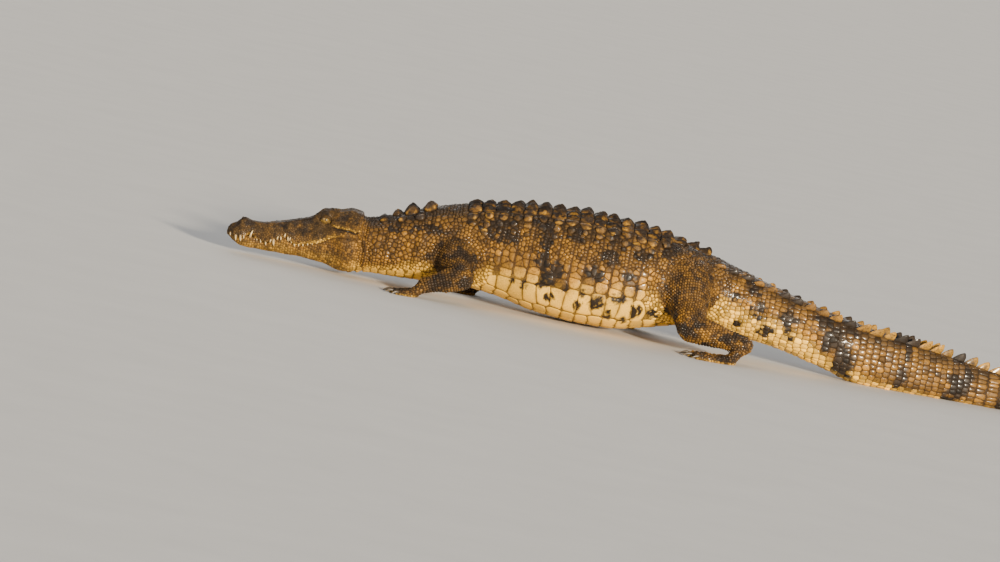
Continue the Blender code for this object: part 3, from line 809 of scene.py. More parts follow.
# ---- Materials ----
class Nodes:
    """Short hand for building a node tree."""

    def __init__(self, tree: bpy.types.NodeTree) -> None:
        """Keeps the tree."""
        self.tree = tree

    def add(self, kind: str, **settings: object) -> bpy.types.Node:
        """Adds a shader node and sets its properties.

        Args:
            kind: its type, without ShaderNode in front.
            settings: its properties.

        Returns:
            The node.
        """
        node = self.tree.nodes.new(kind if kind.startswith("Node") else f"ShaderNode{kind}")
        for key, value in settings.items():
            setattr(node, key, value)
        return node

    def link(self, source: object, target: object) -> None:
        """Joins an output socket, or sets a plain value, on an input socket."""
        if isinstance(source, bpy.types.NodeSocket):
            self.tree.links.new(source, target)
        else:
            target.default_value = source

    def fill(self, node: bpy.types.Node, values: dict) -> bpy.types.Node:
        """Links or sets several inputs of a node, named by name or number."""
        for key, value in values.items():
            self.link(value, node.inputs[key])
        return node

    def math(self, kind: str, a: object, b: object = 0.0, clamp: bool = False) -> Socket:
        """A Math node of two inputs."""
        return self.fill(self.add("Math", operation=kind, use_clamp=clamp), {0: a, 1: b}).outputs[0]

    def plus(self, a: object, b: object, clamp: bool = False) -> Socket:
        """The sum of two values."""
        return self.math("ADD", a, b, clamp)

    def times(self, a: object, b: object, clamp: bool = False) -> Socket:
        """The product of two values."""
        return self.math("MULTIPLY", a, b, clamp)

    def mix(self, part: object, a: object, b: object, kind: str = "MIX") -> Socket:
        """A colour Mix node."""
        node = self.add("Mix", data_type="RGBA", blend_type=kind)
        return self.fill(node, {0: part, 6: a, 7: b}).outputs[2]

    def noise(self, where: object, scale: float, detail: float = 3.0, rough: float = 0.6) -> Socket:
        """A Noise texture's value."""
        values = {"Vector": where, "Scale": scale, "Detail": detail, "Roughness": rough}
        return self.fill(self.add("TexNoise"), values).outputs[0]

    def spread(self, value: object, low: float, high: float, to_low: float = 0.0, to_high: float = 1.0) -> Socket:
        """Maps a range of values to another, clamped."""
        return self.fill(self.add("MapRange"), dict(enumerate((value, low, high, to_low, to_high)))).outputs[0]

    def axes(self, vector: Socket) -> bpy.types.NodeOutputs:
        """The three numbers of a vector."""
        return self.fill(self.add("SeparateXYZ"), {0: vector}).outputs


class Finish(Nodes):
    """A material in the making: its nodes, its shader, and the places on the part."""

    def __init__(self, name: str) -> None:
        """Starts the material."""
        self.made = bpy.data.materials.new(name)
        self.made.use_nodes = True
        super().__init__(self.made.node_tree)
        self.where = self.add("TexCoord").outputs["Object"]

    def attribute(self, name: str) -> Socket:
        """A named number of the vertices."""
        return self.add("Attribute", attribute_name=name).outputs["Fac"]

    def end(self, values: dict, height: Socket | None = None, depth: float = 0.0,
            strength: float = 1.0) -> bpy.types.Material:
        """Sets the shader and hands out the material.

        Args:
            values: what goes into each socket of the shader.
            height: relief of the surface.
            depth: how deep that relief is, in metres.
            strength: how much of it shows.

        Returns:
            The material.
        """
        shader = self.fill(self.tree.nodes["Principled BSDF"], values)
        if height is not None:
            relief = {"Strength": strength, "Distance": depth, "Height": height}
            self.link(self.fill(self.add("Bump"), relief).outputs[0], shader.inputs["Normal"])
        return self.made


@dataclass(frozen=True)
class HidePaint:
    """Colours of the hide, shared by skin and scales through one node group."""

    gold: tuple = (0.41, 0.19, 0.015, 1)
    brown: tuple = (0.185, 0.086, 0.011, 1)
    olive: tuple = (0.062, 0.034, 0.009, 1)
    dark: tuple = (0.016, 0.01, 0.006, 1)
    cream: tuple = (0.9, 0.52, 0.06, 1)
    seam: tuple = (0.04, 0.022, 0.008, 1)
    shade: tuple = (0.2, 0.17, 0.14, 1)

    def group(self) -> bpy.types.NodeTree:
        """The node group: colour, wetness and relief of the hide."""
        known = bpy.data.node_groups.get("hide_paint")
        if known:
            return known
        tree = bpy.data.node_groups.new("hide_paint", "ShaderNodeTree")
        for side, sockets in (("INPUT", "Place:Vector Dark Pale Tone Rim Olive"),
                              ("OUTPUT", "Color:Color Roughness Height Wet")):
            for name, _, kind in (word.partition(":") for word in sockets.split()):
                tree.interface.new_socket(name, in_out=side, socket_type=f"NodeSocket{kind or 'Float'}")
        n = Nodes(tree)
        inputs, outputs = n.add("NodeGroupInput"), n.add("NodeGroupOutput")
        where, dark, pale, tone, rim, olive = (inputs.outputs[k] for k in range(6))
        broad = n.noise(where, 19.0, 5.0)
        fine, speck = n.noise(where, 170.0, 4.0, 0.65), n.noise(where, 560.0, 2.0, 0.5)
        base = n.mix(n.spread(broad, 0.38, 0.62, 0.0, 0.85), self.gold, self.brown)
        base = n.mix(pale, n.mix(olive, base, self.olive), self.cream)
        patch = n.plus(dark, n.spread(fine, 0.3, 0.7, -0.16, 0.16), clamp=True)
        base = n.mix(n.spread(patch, 0.22, 0.72), base, self.dark)
        freckle = n.times(n.spread(fine, 0.5, 0.64), n.spread(pale, 0.0, 1.0, 0.72, 0.12))
        base = n.mix(freckle, base, self.seam)
        light = n.plus(n.spread(speck, 0.3, 0.7, 0.62, 1.34), n.times(tone, 0.6))
        grey = n.fill(n.add("CombineColor"), {0: light, 1: light, 2: light}).outputs[0]
        base = n.mix(1.0, base, grey, "MULTIPLY")
        # The rim darkens towards the seam colour and a shaded copy of the base: dark seams, with painted shade on the
        # sloping sides of the scales and in the grooves between them.
        seam_and_shade = n.times(rim, n.spread(speck, 0.2, 0.7, 0.8, 1.0), clamp=True)
        base = n.mix(seam_and_shade, base, n.mix(0.45, n.mix(1.0, base, self.shade, "MULTIPLY"), self.seam))
        damp = n.noise(where, 26.0, 4.0)
        gloss = n.plus(n.spread(damp, 0.4, 0.62, 0.62, 0.36), n.times(rim, 0.25))
        gloss = n.plus(gloss, n.spread(speck, 0.3, 0.7, -0.05, 0.08), clamp=True)
        relief = n.plus(n.times(fine, 0.8), n.times(speck, 0.3))
        wet = n.times(n.spread(damp, 0.5, 0.66, 0.0, 0.42), n.spread(rim, 0.0, 0.5, 1.0, 0.0))
        wet = n.plus(wet, n.times(dark, n.spread(damp, 0.48, 0.62, 0.0, 0.3)), clamp=True)
        rear = n.spread(n.axes(where)["X"], -0.3, 0.2, 0.0, 0.34)
        wet = n.plus(wet, n.times(rear, n.spread(damp, 0.4, 0.58)), clamp=True)
        n.fill(outputs, {"Color": base, "Roughness": gloss, "Height": relief, "Wet": wet})
        return tree

    def material(self, name: str, relief: float, cracks: float = 0.0, cells: float = 160.0) -> bpy.types.Material:
        """A hide material.

        Args:
            name: its name.
            relief: depth of the fine pits, in metres.
            cracks: how much the net of fine cracks shows.
            cells: how many meshes of that net go into a metre.

        Returns:
            The material.
        """
        n = Finish(name)
        paint = n.add("Group", node_tree=self.group())
        values = {key: n.attribute(key.lower()) for key in ("Dark", "Pale", "Tone", "Rim", "Olive")}
        height = paint.outputs["Height"]
        if cracks:
            net = n.fill(n.add("TexVoronoi", feature="DISTANCE_TO_EDGE"), {"Vector": n.where, "Scale": cells})
            crack = n.spread(net.outputs["Distance"], 0.0, 0.16, 1.0, 0.0)
            height = n.math("SUBTRACT", height, n.times(crack, cracks))
            # The cracks also raise the rim, which paints shade into them.
            values["Rim"] = n.plus(values["Rim"], n.times(crack, cracks * 0.5), clamp=True)
        out = n.fill(paint, {"Place": n.where, **values}).outputs
        return n.end({"Base Color": out["Color"], "Roughness": out["Roughness"], "Coat Weight": out["Wet"],
                      "Coat Roughness": 0.14, "Specular IOR Level": 0.28}, height, relief, 0.9)


@dataclass(frozen=True)
class HornFinish:
    """Dark worn horn of the claws, paler at the tip."""

    root: tuple = (0.03, 0.022, 0.016, 1)
    tip: tuple = (0.15, 0.11, 0.065, 1)
    stretch: tuple = (60, 420, 420)

    def material(self) -> bpy.types.Material:
        """The claw material, streaked along its length."""
        n = Finish("claw_horn")
        stretched = n.fill(n.add("Mapping"), {"Scale": self.stretch, "Vector": n.where})
        streak = n.noise(stretched.outputs[0], 1.0)
        part = n.times(n.attribute("along"), n.spread(streak, 0.3, 0.7, 0.5, 1.1), clamp=True)
        return n.end({"Base Color": n.mix(part, self.root, self.tip),
                      "Roughness": n.spread(streak, 0.3, 0.7, 0.26, 0.48)}, streak, 0.0006, 0.6)


@dataclass(frozen=True)
class ToothFinish:
    """Ivory, stained at the root."""

    ivory: tuple = (0.6, 0.45, 0.22, 1)
    stain: tuple = (0.22, 0.13, 0.045, 1)

    def material(self) -> bpy.types.Material:
        """The tooth material."""
        n = Finish("tooth")
        cloud = n.noise(n.where, 260.0)
        root = n.spread(n.attribute("along"), 0.05, 0.55, 0.85, 0.0)
        part = n.plus(root, n.spread(cloud, 0.4, 0.8, 0.0, 0.3), clamp=True)
        return n.end({"Base Color": n.mix(part, self.ivory, self.stain),
                      "Roughness": n.spread(cloud, 0.3, 0.7, 0.2, 0.36)}, cloud, 0.0003)


@dataclass(frozen=True)
class EyeFinish:
    """Golden iris with an upright slit pupil, wet all over."""

    iris: tuple = (0.33, 0.19, 0.026, 1)
    edge: tuple = (0.09, 0.05, 0.012, 1)
    pupil: tuple = (0.004, 0.004, 0.004, 1)
    white: tuple = (0.11, 0.075, 0.035, 1)
    slit: tuple = (0.115, 0.52)  # half width and height of the pupil, in shares of the eye's radius

    def material(self, name: str, centre: Array, radius: float) -> bpy.types.Material:
        """The eye's material, its pupil centred on the eye.

        Args:
            name: its name.
            centre: middle of the eye.
            radius: radius of the eye.

        Returns:
            The material.
        """
        n = Finish(name)
        shift = {"Location": tuple(-centre / radius), "Scale": (1 / radius,) * 3, "Vector": n.where}
        local = n.fill(n.add("Mapping"), shift).outputs[0]
        axes = n.axes(local)
        x, z = (n.math("ABSOLUTE", axes[k]) for k in (0, 2))

        def square_sum(a: Socket, b: Socket) -> Socket:
            """Sum of two squares."""
            return n.plus(n.math("POWER", a, 2.0), n.math("POWER", b, 2.0))

        away = n.math("SQRT", square_sum(x, z))
        fibre = n.noise(local, 9.0, 5.0, 0.7)
        colour = n.mix(n.spread(fibre, 0.35, 0.65), self.iris, self.edge)
        colour = n.mix(n.spread(away, 0.45, 0.72), colour, self.edge)
        colour = n.mix(n.spread(away, 0.74, 0.8), colour, self.white)
        slit = square_sum(*(n.math("DIVIDE", axis, size) for axis, size in zip((x, z), self.slit)))
        colour = n.mix(n.spread(slit, 0.85, 1.1), self.pupil, colour)
        return n.end({"Base Color": colour, "Roughness": 0.07, "Coat Weight": 1.0, "Coat Roughness": 0.03},
                     fibre, 0.0003, 0.15)


# ---- Limbs ----
class Pair(Enum):
    """Which pair of limbs."""

    FRONT = "foreleg"
    BACK = "hindleg"


TOES = {  # length and radius of each toe, from the inner one
    Pair.FRONT: metres((56, 12.5), (74, 13.5), (80, 13.0), (72, 11.5), (58, 10.0)),
    Pair.BACK: metres((90, 16.0), (112, 17.0), (116, 15.5), (94, 12.0)),
}
CLAWED = 3  # the outer toes bear no claw
SIZES = {  # upright and sideways half thickness at root, mid thigh, joint, mid shank and ankle
    Pair.FRONT: metres((82, 70), (76, 62), (47, 46), (43, 40), (27, 30)),
    Pair.BACK: metres((116, 105), (86, 80), (56, 52), (45, 44), (33, 36)),
}
SPLAY = {Pair.FRONT: 0.42, Pair.BACK: 0.22}  # how far the toes fan out, in radians
KNUCKLES = ((-0.15, 0.85), (0.08, 1.0), (0.3, 0.9), (0.42, 1.04), (0.62, 0.82), (0.74, 0.92), (0.9, 0.66), (0.99, 0.44))


@dataclass
class Limb:
    """One leg: joints along its middle, thickness at each, and its toes."""

    number: int
    pair: Pair
    left: bool
    heading: float  # of the foot, in degrees
    origin: Array
    root: tuple
    joint: tuple
    ankle: tuple
    palm: tuple
    knuckles: tuple

    def __post_init__(self) -> None:
        """Looks up the toes and works out the middle line and the toes' lines."""
        self.name = f"{self.pair.value}_{'left' if self.left else 'right'}"
        self.toes = TOES[self.pair]
        wide = sum(radius for _, radius in self.toes) * 0.92
        r, j, a, m, k = (np.array(p, float) for p in (self.root, self.joint, self.ankle, self.palm, self.knuckles))
        z = np.array(SIZES[self.pair])
        self.path = self.origin + np.array([r, r * 0.58 + j * 0.42, r * 0.34 + j * 0.66, j, j * 0.56 + a * 0.44,
                                            j * 0.28 + a * 0.72, a, a * 0.4 + m * 0.6, m, k])
        self.size = np.array([z[0], z[1], 0.3 * z[1] + 0.7 * z[2], z[2], z[3], 0.3 * z[3] + 0.7 * z[4], z[4],
                              (z[4][0] * 0.62, wide * 0.62), (0.02, wide * 0.86), (0.014, wide)])
        turn = math.radians(self.heading)
        forward = np.array([math.cos(turn), math.sin(turn), 0.0])
        across = np.array([-forward[1], forward[0], 0.0])
        base = np.array([*self.knuckles[:2], 0.0]) - forward * 0.012 + self.origin
        self.toe_lines = []
        for k, (length, radius) in enumerate(self.toes):
            inward = (1.0 if self.left else -1.0) * (1 - 2 * k / (len(self.toes) - 1))
            root, aim = base + across * inward * wide * 0.86, turn + SPLAY[self.pair] * inward
            self.toe_lines.append((root, root + np.array([math.cos(aim), math.sin(aim), 0.0]) * length, radius))

    def lines(self, lift_root: float, lift_tip: float) -> list:
        """Ends of the stretches of the leg and of the toes, these lifted off the ground."""
        toes = [(root + [0, 0, lift_root], tip + [0, 0, lift_tip]) for root, tip, _ in self.toe_lines]
        return [*zip(self.path[:-1], self.path[1:]), *toes]

    def flesh(self) -> list[Array]:
        """Points and triangles of overlapping closed tubes for the leg, the sole and the toes."""
        tubes = [self.tube(self.path[part], self.size[part]) for part in (slice(4), slice(3, 7), slice(6, None))]
        at, part = np.array(KNUCKLES).T
        for root, tip, radius in self.toe_lines:
            line, r = root + (tip - root) * at[:, None], radius * part
            line[:, 2] += r * 0.52
            tubes.append(self.tube(line, np.stack([r * 1.02, r * 0.95], 1)))
        return join(tubes)

    @staticmethod
    def tube(path: Array, size: Array, around: int = 20) -> tuple[Array, Array]:
        """Points and triangles of a closed tube with round ends; size is its (upright, sideways) half thickness.

        Args:
            path: points of its middle line.
            size: its half thickness at each, upright and sideways.
            around: points round it.

        Returns:
            The points and the triangles.
        """
        run = run_of(path)
        at = np.linspace(0, run[-1], max(6, int(run[-1] / 0.006)))
        table = tuple(map(tuple, np.concatenate([run[:, None], path, size], axis=1)))
        line = np.stack([Track(table, c)(at) for c in range(1, 6)], axis=1)
        centre, thick = line[:, :3], line[:, 3:]
        ahead = unit(np.gradient(centre, axis=0))
        u = unit(np.cross(ahead, np.where(np.abs(ahead[:, 1:2]) > 0.85, [[1.0, 0, 0]], [[0, 1.0, 0]])))
        v = np.cross(ahead, u)
        caps = np.array([0.3, 0.62, 0.86, 0.97])[:, None]
        start, end = (np.sqrt(1 - caps * caps) * thick[k].mean() for k in (0, -1))
        centre = np.concatenate([centre[0] - ahead[0] * start, centre, centre[-1] + (ahead[-1] * end)[::-1]])
        thick = np.concatenate([thick[0] * caps, thick, (thick[-1] * caps)[::-1]])
        u, v = (np.concatenate([np.repeat(w[:1], 4, 0), w, np.repeat(w[-1:], 4, 0)])[:, None] for w in (u, v))
        angle = np.linspace(0, 2 * math.pi, around, endpoint=False)[None, :, None]
        rings = centre[:, None] + thick[:, :1, None] * u * np.cos(angle) + thick[:, 1:, None] * v * np.sin(angle)
        points, quads, fans = loft(rings, centre[[0, -1]])
        return points, np.concatenate([quads[:, [0, 1, 2]], quads[:, [0, 2, 3]], fans])


def stance(origin: Array) -> list[Limb]:
    """The four legs in mid stride.

    Args:
        origin: place of the snout on the floor.

    Returns:
        The legs, numbered from 1.
    """
    places = (  # root, joint, ankle, palm and knuckles of each
        (Pair.FRONT, True, 182.0, (848, -110, 178), (902, -290, 106), (772, -292, 50), (735, -290, 12), (712, -288, 9)),
        (Pair.FRONT, False, 163.0, (890, 110, 190), (1062, 285, 168), (985, 290, 52), (950, 296, 12), (926, 300, 9)),
        (Pair.BACK, True, 189.0, (1735, -110, 250), (1788, -298, 104), (1992, -304, 78), (1950, -318, 12),
         (1893, -330, 9)),
        (Pair.BACK, False, 176.0, (1740, 110, 260), (1560, 300, 165), (1640, 312, 52), (1572, 318, 12), (1515, 322, 9)),
    )
    return [Limb(k + 1, pair, left, heading, origin, *metres(*joints))
            for k, (pair, left, heading, *joints) in enumerate(places)]


# ---- Skin ----
@dataclass
class Skin:
    """One skin over head, neck, trunk, tail and legs."""

    form: BodyForm
    limbs: list[Limb]
    marks: Markings
    eyes: dict[int, tuple[Array, float]]
    half_count: int = 80
    pull: float = 0.62  # how strongly the points crowd towards the lips
    voxel: float = 0.005
    seams: dict = field(default_factory=dict)

    def stations(self) -> Array:
        """Places of the rings: close on the head, wider down the body."""
        bands = ((0.0148, 0.036, 0.0031), (0.037, 0.07, 0.0016), (0.072, 0.54, 0.0033),
                 (0.545, TAIL_TIP - 0.005, 0.0145))
        snout = 0.012 * np.linspace(0, 1, 7) ** 1.6
        return np.concatenate([snout, *(np.arange(*band) for band in bands), [TAIL_TIP - 0.002]])

    def around(self) -> Array:
        """q of the points of a ring: down the right side, then up the left."""
        u = np.linspace(-1, 1, self.half_count + 1)
        q = 0.5 + 0.5 * (u - self.pull * np.sin(math.pi * u) / math.pi)
        return np.concatenate([q, -q[-2:0:-1]])

    def aside(self, points: Array) -> Array:
        """Distance of points from the head's midplane, negative on the left."""
        return points[:, 1] - self.form.origin[1]

    def relief(self, s: Array, q: Array, points: Array) -> Array:
        """Height of folds, lids and pits over the smooth form.

        Args:
            s: distances along the spine.
            q: places round the section.
            points: the same places in the world.

        Returns:
            Heights along the outward normal.
        """
        a, aside, z = np.abs(q), self.aside(points), points[:, 2]
        rise = (1 - ease(0.47, 0.53, s)) * (0.0007 * grain(points, 0.011, 21) + 0.0011 * grain(points, 0.028, 22))
        gums = [(at, 0.455, 0.003, radius / 0.0045) for at, _, radius in UPPER_TEETH]
        gums += [(at, 0.54, 0.0022, 1.0) for at, _, _ in LOWER_TEETH]
        for at, level, high, size in gums:
            rise += high * hump(s - at, 0.0075) * hump(a - level, 0.03) * size
        # nostril mound with two slanting openings, each with a raised lip
        rise += 0.003 * hump(s - 0.052, 0.016) * hump(np.abs(aside) - 0.014, 0.012)
        gap = nostril_gap(s, np.abs(aside), a)
        rise += 0.0022 * hump(gap - 1.35, 0.4) - 0.0085 * ease(1.0, 0.45, gap)
        # ear flap: a shelf under the skull table, open along its lower edge, with a rim behind
        shelf, _, under = flap_lines(s, z, a)
        rise += 0.0062 * shelf - 0.0045 * under + 0.005 * hump(s - 0.487, 0.007) * ease(0.17, 0.185, z) * (a < 0.47)
        # bulge of the jaw muscle and the curved folds behind it
        away = np.hypot((s - 0.4) * 0.9, z - 0.09)
        rise += 0.005 * hump(away - 0.055, 0.038) * (a > 0.5) * (1 - ease(0.5, 0.52, s))
        fold = ease(0.088, 0.1, away) * ease(0.165, 0.13, away) * ease(0.46, 0.485, s) * ease(0.2, 0.3, a)
        rise += 0.0028 * np.sin(away * 2 * math.pi / 0.019) * fold
        # ridge from the eye to the nostril mound, and the flesh at the corner of the mouth
        rise += 0.002 * hump(a - 0.19, 0.035) * ease(0.2, 0.29, s) * (1 - ease(0.32, 0.34, s))
        rise += 0.006 * hump(s - 0.432, 0.02) * hump(a - 0.5, 0.075)
        for sign, (centre, _) in self.eyes.items():
            x, up = points[:, 0] - centre[0], z - centre[2]
            near, almond = aside * sign > 0.04, (x / 0.0255) ** 2 + (up / 0.0135) ** 2
            rise += near * (0.0022 * hump(almond - 1.7, 0.9) - 0.012 * (1 - ease(0.55, 1.05, almond)))
            rise += ease(0.018, 0.032, aside * sign) * 0.0085 * hump(x + 0.003, 0.025) * hump(up - 0.0255, 0.0085)
            rise += near * 0.003 * hump(x - 0.031, 0.009) * hump(up + 0.004, 0.012)
        # soft folds of the neck and round the roots of the legs
        neck = ease(0.49, 0.53, s) * (1 - ease(0.78, 0.9, s)) * ease(0.1, 0.35, a) * ease(0.85, 0.66, a)
        rise += neck * 0.0038 * np.sin(s * 2 * math.pi / 0.04 + 2.0 * grain(points, 0.16, 30))
        for limb in self.limbs:
            spoke, ahead = points - limb.path[0], unit(limb.path[2] - limb.path[0])
            away = np.linalg.norm(spoke - (spoke @ ahead)[:, None] * ahead, axis=1) - float(limb.size[1].mean())
            band = (aside * limb.path[1][1] > 0) * ease(-0.01, 0.004, away) * ease(0.085, 0.03, away)
            rise += 0.002 * np.sin(away * 2 * math.pi / 0.024) * band
        return rise

    def trunk(self) -> bpy.types.Object:
        """The tube from snout to tail tip, with its unwrap."""
        s, q = np.meshgrid(self.stations(), self.around(), indexing="ij")
        base = self.form.surface(s, q)
        normal = unit(np.cross(np.roll(base, -1, axis=1) - np.roll(base, 1, axis=1), np.gradient(base, axis=0)))
        inward = (normal * (base - base.mean(axis=1, keepdims=True))).sum(axis=(1, 2), keepdims=True) < 0
        normal = np.where(inward, -normal, normal).reshape(-1, 3)
        flat = base.reshape(-1, 3)
        points = flat + normal * self.relief(s.ravel(), q.ravel(), flat)[:, None]
        points[:, 2] = np.maximum(points[:, 2], FLOOR_GAP)
        ends = np.stack([base[0].mean(axis=0) - [0.0035, 0, 0], base[-1].mean(axis=0)])
        points, quads, fans = loft(points.reshape(base.shape), ends)
        arc = self.form.look_up(self.form.arc, s, q) * np.where(q < 0, -1, 1)
        s, q, arc = np.append(s, [0, TAIL_TIP]), np.append(q, [0.5, 0.5]), np.append(arc, [0, 0])
        patch = np.stack([s / UV_METRES + UV_EDGE, UV_BODY + arc / UV_METRES], 1)
        return new_mesh("skin", points, quads[:, ::-1], fans[:, [1, 0, 2]], {"s": s, "q": q, "limb": 0 * s}, patch)

    def leg(self, limb: Limb) -> bpy.types.Object:
        """One leg as a smooth closed mesh.

        Args:
            limb: its joints and sizes.

        Returns:
            The leg, with its strip of the unwrap.
        """
        points, tris = limb.flesh()
        leg = new_mesh(limb.name, points, np.zeros((0, 4), int), tris, {})
        apply_modifier(leg, "REMESH", mode="VOXEL", voxel_size=self.voxel)
        apply_modifier(leg, "SMOOTH", factor=0.5, iterations=6)
        found = points_of(leg)
        found[:, 2] = np.maximum(found[:, 2], FLOOR_GAP)
        move_to(leg, found)
        set_values(leg, {key: np.full(len(found), value) for key, value in (("s", 0), ("q", 0), ("limb", limb.number))})
        self.unwrap_leg(leg, limb)
        return leg

    def unwrap_leg(self, leg: bpy.types.Object, limb: Limb) -> None:
        """Lays the leg out on its own strip of the unwrap, round its middle line.

        Args:
            leg: its mesh.
            limb: its joints and sizes.
        """
        points, lines = points_of(leg), limb.lines(0.008, 0.005)
        quads = read(leg.data.loops, "vertex_index", np.int32).reshape(-1, 4)
        middle = points[quads].mean(axis=1)
        which, _ = near_line(middle, lines)
        start = np.cumsum([0.0] + [np.linalg.norm(b - a) for a, b in lines])
        uv = np.zeros((len(quads), 4, 2))
        for k, (a, b) in enumerate(lines):
            rows, ahead = which == k, unit(b - a)
            u = unit(np.cross(ahead, [0.0, 1.0, 0.02]))
            v = np.cross(ahead, u)
            spoke, each = middle[rows] - a, points[quads[rows]] - a
            turn, size = np.arctan2(spoke @ v, spoke @ u), np.hypot(spoke @ v, spoke @ u)
            swing = (np.arctan2(each @ v, each @ u) - turn[:, None] + math.pi) % (2 * math.pi) - math.pi
            uv[rows, :, 0] = start[k] + each @ ahead
            uv[rows, :, 1] = (turn[:, None] + np.clip(swing, -0.6, 0.6)) * np.maximum(size, 0.006)[:, None]
        row, column = divmod(limb.number - 1, 2)
        set_unwrap(leg, uv / UV_METRES + [0.04 + 0.46 * column, 0.12 + 0.22 * row])

    def build(self) -> None:
        """Joins the legs to the body, softens the joins and paints the markings."""
        self.piece = self.trunk()
        for leg in [self.leg(limb) for limb in self.limbs]:
            apply_modifier(self.piece, "BOOLEAN", operation="UNION", solver="MANIFOLD", object=leg)
            bpy.data.objects.remove(leg)
        self.soften_joins()
        self.paint()

    def soften_joins(self) -> None:
        """Rounds the crease where each leg leaves the body, and keeps the lines of the joins."""
        points, limb = points_of(self.piece), value_of(self.piece, "limb")
        edges = read(self.piece.data.edges, "vertices", np.int32, 2)
        mixed = edges[np.abs(limb[edges[:, 0]] - limb[edges[:, 1]]) > 0.01]
        tree = tree_of(points[np.unique(mixed)])
        close = np.flatnonzero(np.abs(points[:, 0] - self.form.origin[0] - 1.35) < 0.75)
        away = np.full(len(points), FAR)
        away[close] = [tree.find(points[index])[2] for index in close]
        weight = 0.6 * (1 - ease(0.018, 0.06, away))[:, None]
        counts = np.bincount(edges.ravel(), minlength=len(points))[:, None].clip(1)
        for _ in range(44):
            total = np.zeros_like(points)
            np.add.at(total, edges[:, 0], points[edges[:, 1]])
            np.add.at(total, edges[:, 1], points[edges[:, 0]])
            points += weight * (total / counts - points)
        move_to(self.piece, points)
        owner = limb[mixed].max(axis=1)
        for one in self.limbs:
            self.seams[one.number] = points[np.unique(mixed[np.abs(owner - one.number) < 0.3])]
        trunk = np.flatnonzero(limb < 0.01)
        self.trunk_tree, self.seam_tree = tree_of(points[trunk]), tree_of(np.concatenate(list(self.seams.values())))
        self.trunk_place = value_of(self.piece, "s")[trunk], value_of(self.piece, "q")[trunk]

    def body_place(self, points: Array) -> tuple[Array, Array]:
        """s and q of the nearest point of the trunk, for each point."""
        index = np.array([self.trunk_tree.find(p)[1] for p in points])
        return self.trunk_place[0][index], self.trunk_place[1][index]

    def leg_share(self, points: Array, on_leg: Array) -> Array:
        """Share of the leg's own colour, blended across shoulder and hip.

        Args:
            points: world places.
            on_leg: 1 for points of a leg, 0 for points of the body.

        Returns:
            The share, 0 to 1.
        """
        away = np.full(len(points), 1.0)
        near = np.flatnonzero((points[:, 2] < 0.36) & (np.abs(points[:, 0] + 0.45) < 0.95))
        away[near] = [self.seam_tree.find(points[k])[2] for k in near]
        hind = points[:, 0] > MID_BODY
        root, fade = np.where(hind, 0.5, 0.55), np.where(hind, 0.028, 0.06)
        down = np.where(hind, ease(0.215, 0.11, points[:, 2]), ease(0, 0.06, away))
        return np.where(on_leg > 0.5, root + (1 - root) * down, root * ease(fade, 0, away))

    def nostril(self, points: Array, q: Array) -> Array:
        """Distance of points from the nearer nostril, 1 at its edge."""
        return nostril_gap(points[:, 0] - self.form.origin[0], np.abs(self.aside(points)), np.abs(q))

    def paint(self) -> None:
        """Stores the markings on the skin."""
        points, s, q, limb = points_of(self.piece), *(value_of(self.piece, key) for key in ("s", "q", "limb"))
        on_leg = share(limb)
        legs = on_leg > 0.5
        s[legs], q[legs] = self.body_place(points[legs])
        dark, pale, olive = self.marks.at(s, q, points, self.leg_share(points, on_leg))
        # Painted shade: the rim darkens along the mouth line and in the nostrils, which are also painted dark, and more
        # where the skin shows only in the gaps between scales, behind the head and on the legs, which is darker in tone
        # too.
        mouth = hump(np.abs(q) - 0.5, 0.012) * (1 - ease(0.42, 0.46, s)) * (1 - on_leg)
        hole = (1 - on_leg) * ease(1.1, 0.75, self.nostril(points, q))
        bare = np.maximum(ease(0.48, 0.52, s) * (1 - 0.25 * pale), on_leg * np.where(points[:, 2] < 0.0045, 0.35, 0.8))
        rim = share(0.45 * (1 - bare) + 0.8 * bare + np.maximum(mouth, hole))
        set_values(self.piece, {"dark": np.maximum(dark, hole), "pale": pale, "olive": olive, "tone": -0.5 * bare,
                                "rim": rim})


def nostril_gap(s: Array, side: Array, a: Array) -> Array:
    """Distance from a nostril's middle, 1 at its edge; side is the distance from the midplane.

    Args:
        s: places along the spine.
        side: distances from the midplane.
        a: places round the section, without sign.

    Returns:
        The distances; far away where the point is low on the head.
    """
    x, y = s - 0.053 - 12.0 * (side - 0.014) ** 2, side - 0.014
    along, across = 0.5 * x + 0.866 * y, 0.866 * x - 0.5 * y
    return np.where(a < 0.36, np.hypot(along / 0.0088, across / 0.004), FAR)


def flap_lines(s: Array, level: Array, a: Array) -> tuple[Array, Array, Array]:
    """The ear flap: how far a point is on it, on its lower edge, which is painted pale as a highlight, and in the slot
    below, which is painted dark as its shadow.

    Args:
        s: places along the spine.
        level: heights over the floor.
        a: places round the section, without sign.

    Returns:
        Three shares from 0 to 1.
    """
    rise = level - np.interp(s, [0.37, 0.395, 0.45, 0.478, 0.49], [0.182, 0.1775, 0.18, 0.1755, 0.185])
    span = ease(0.378, 0.398, s) * (1 - ease(0.488, 0.494, s)) * (a < 0.47)
    shelf = ease(-0.0015, 0.002, rise) * span * (1 - ease(0.02, 0.046, rise))
    return shelf, hump(rise - 0.0035, 0.0034) * span, hump(rise + 0.005, 0.0036) * span


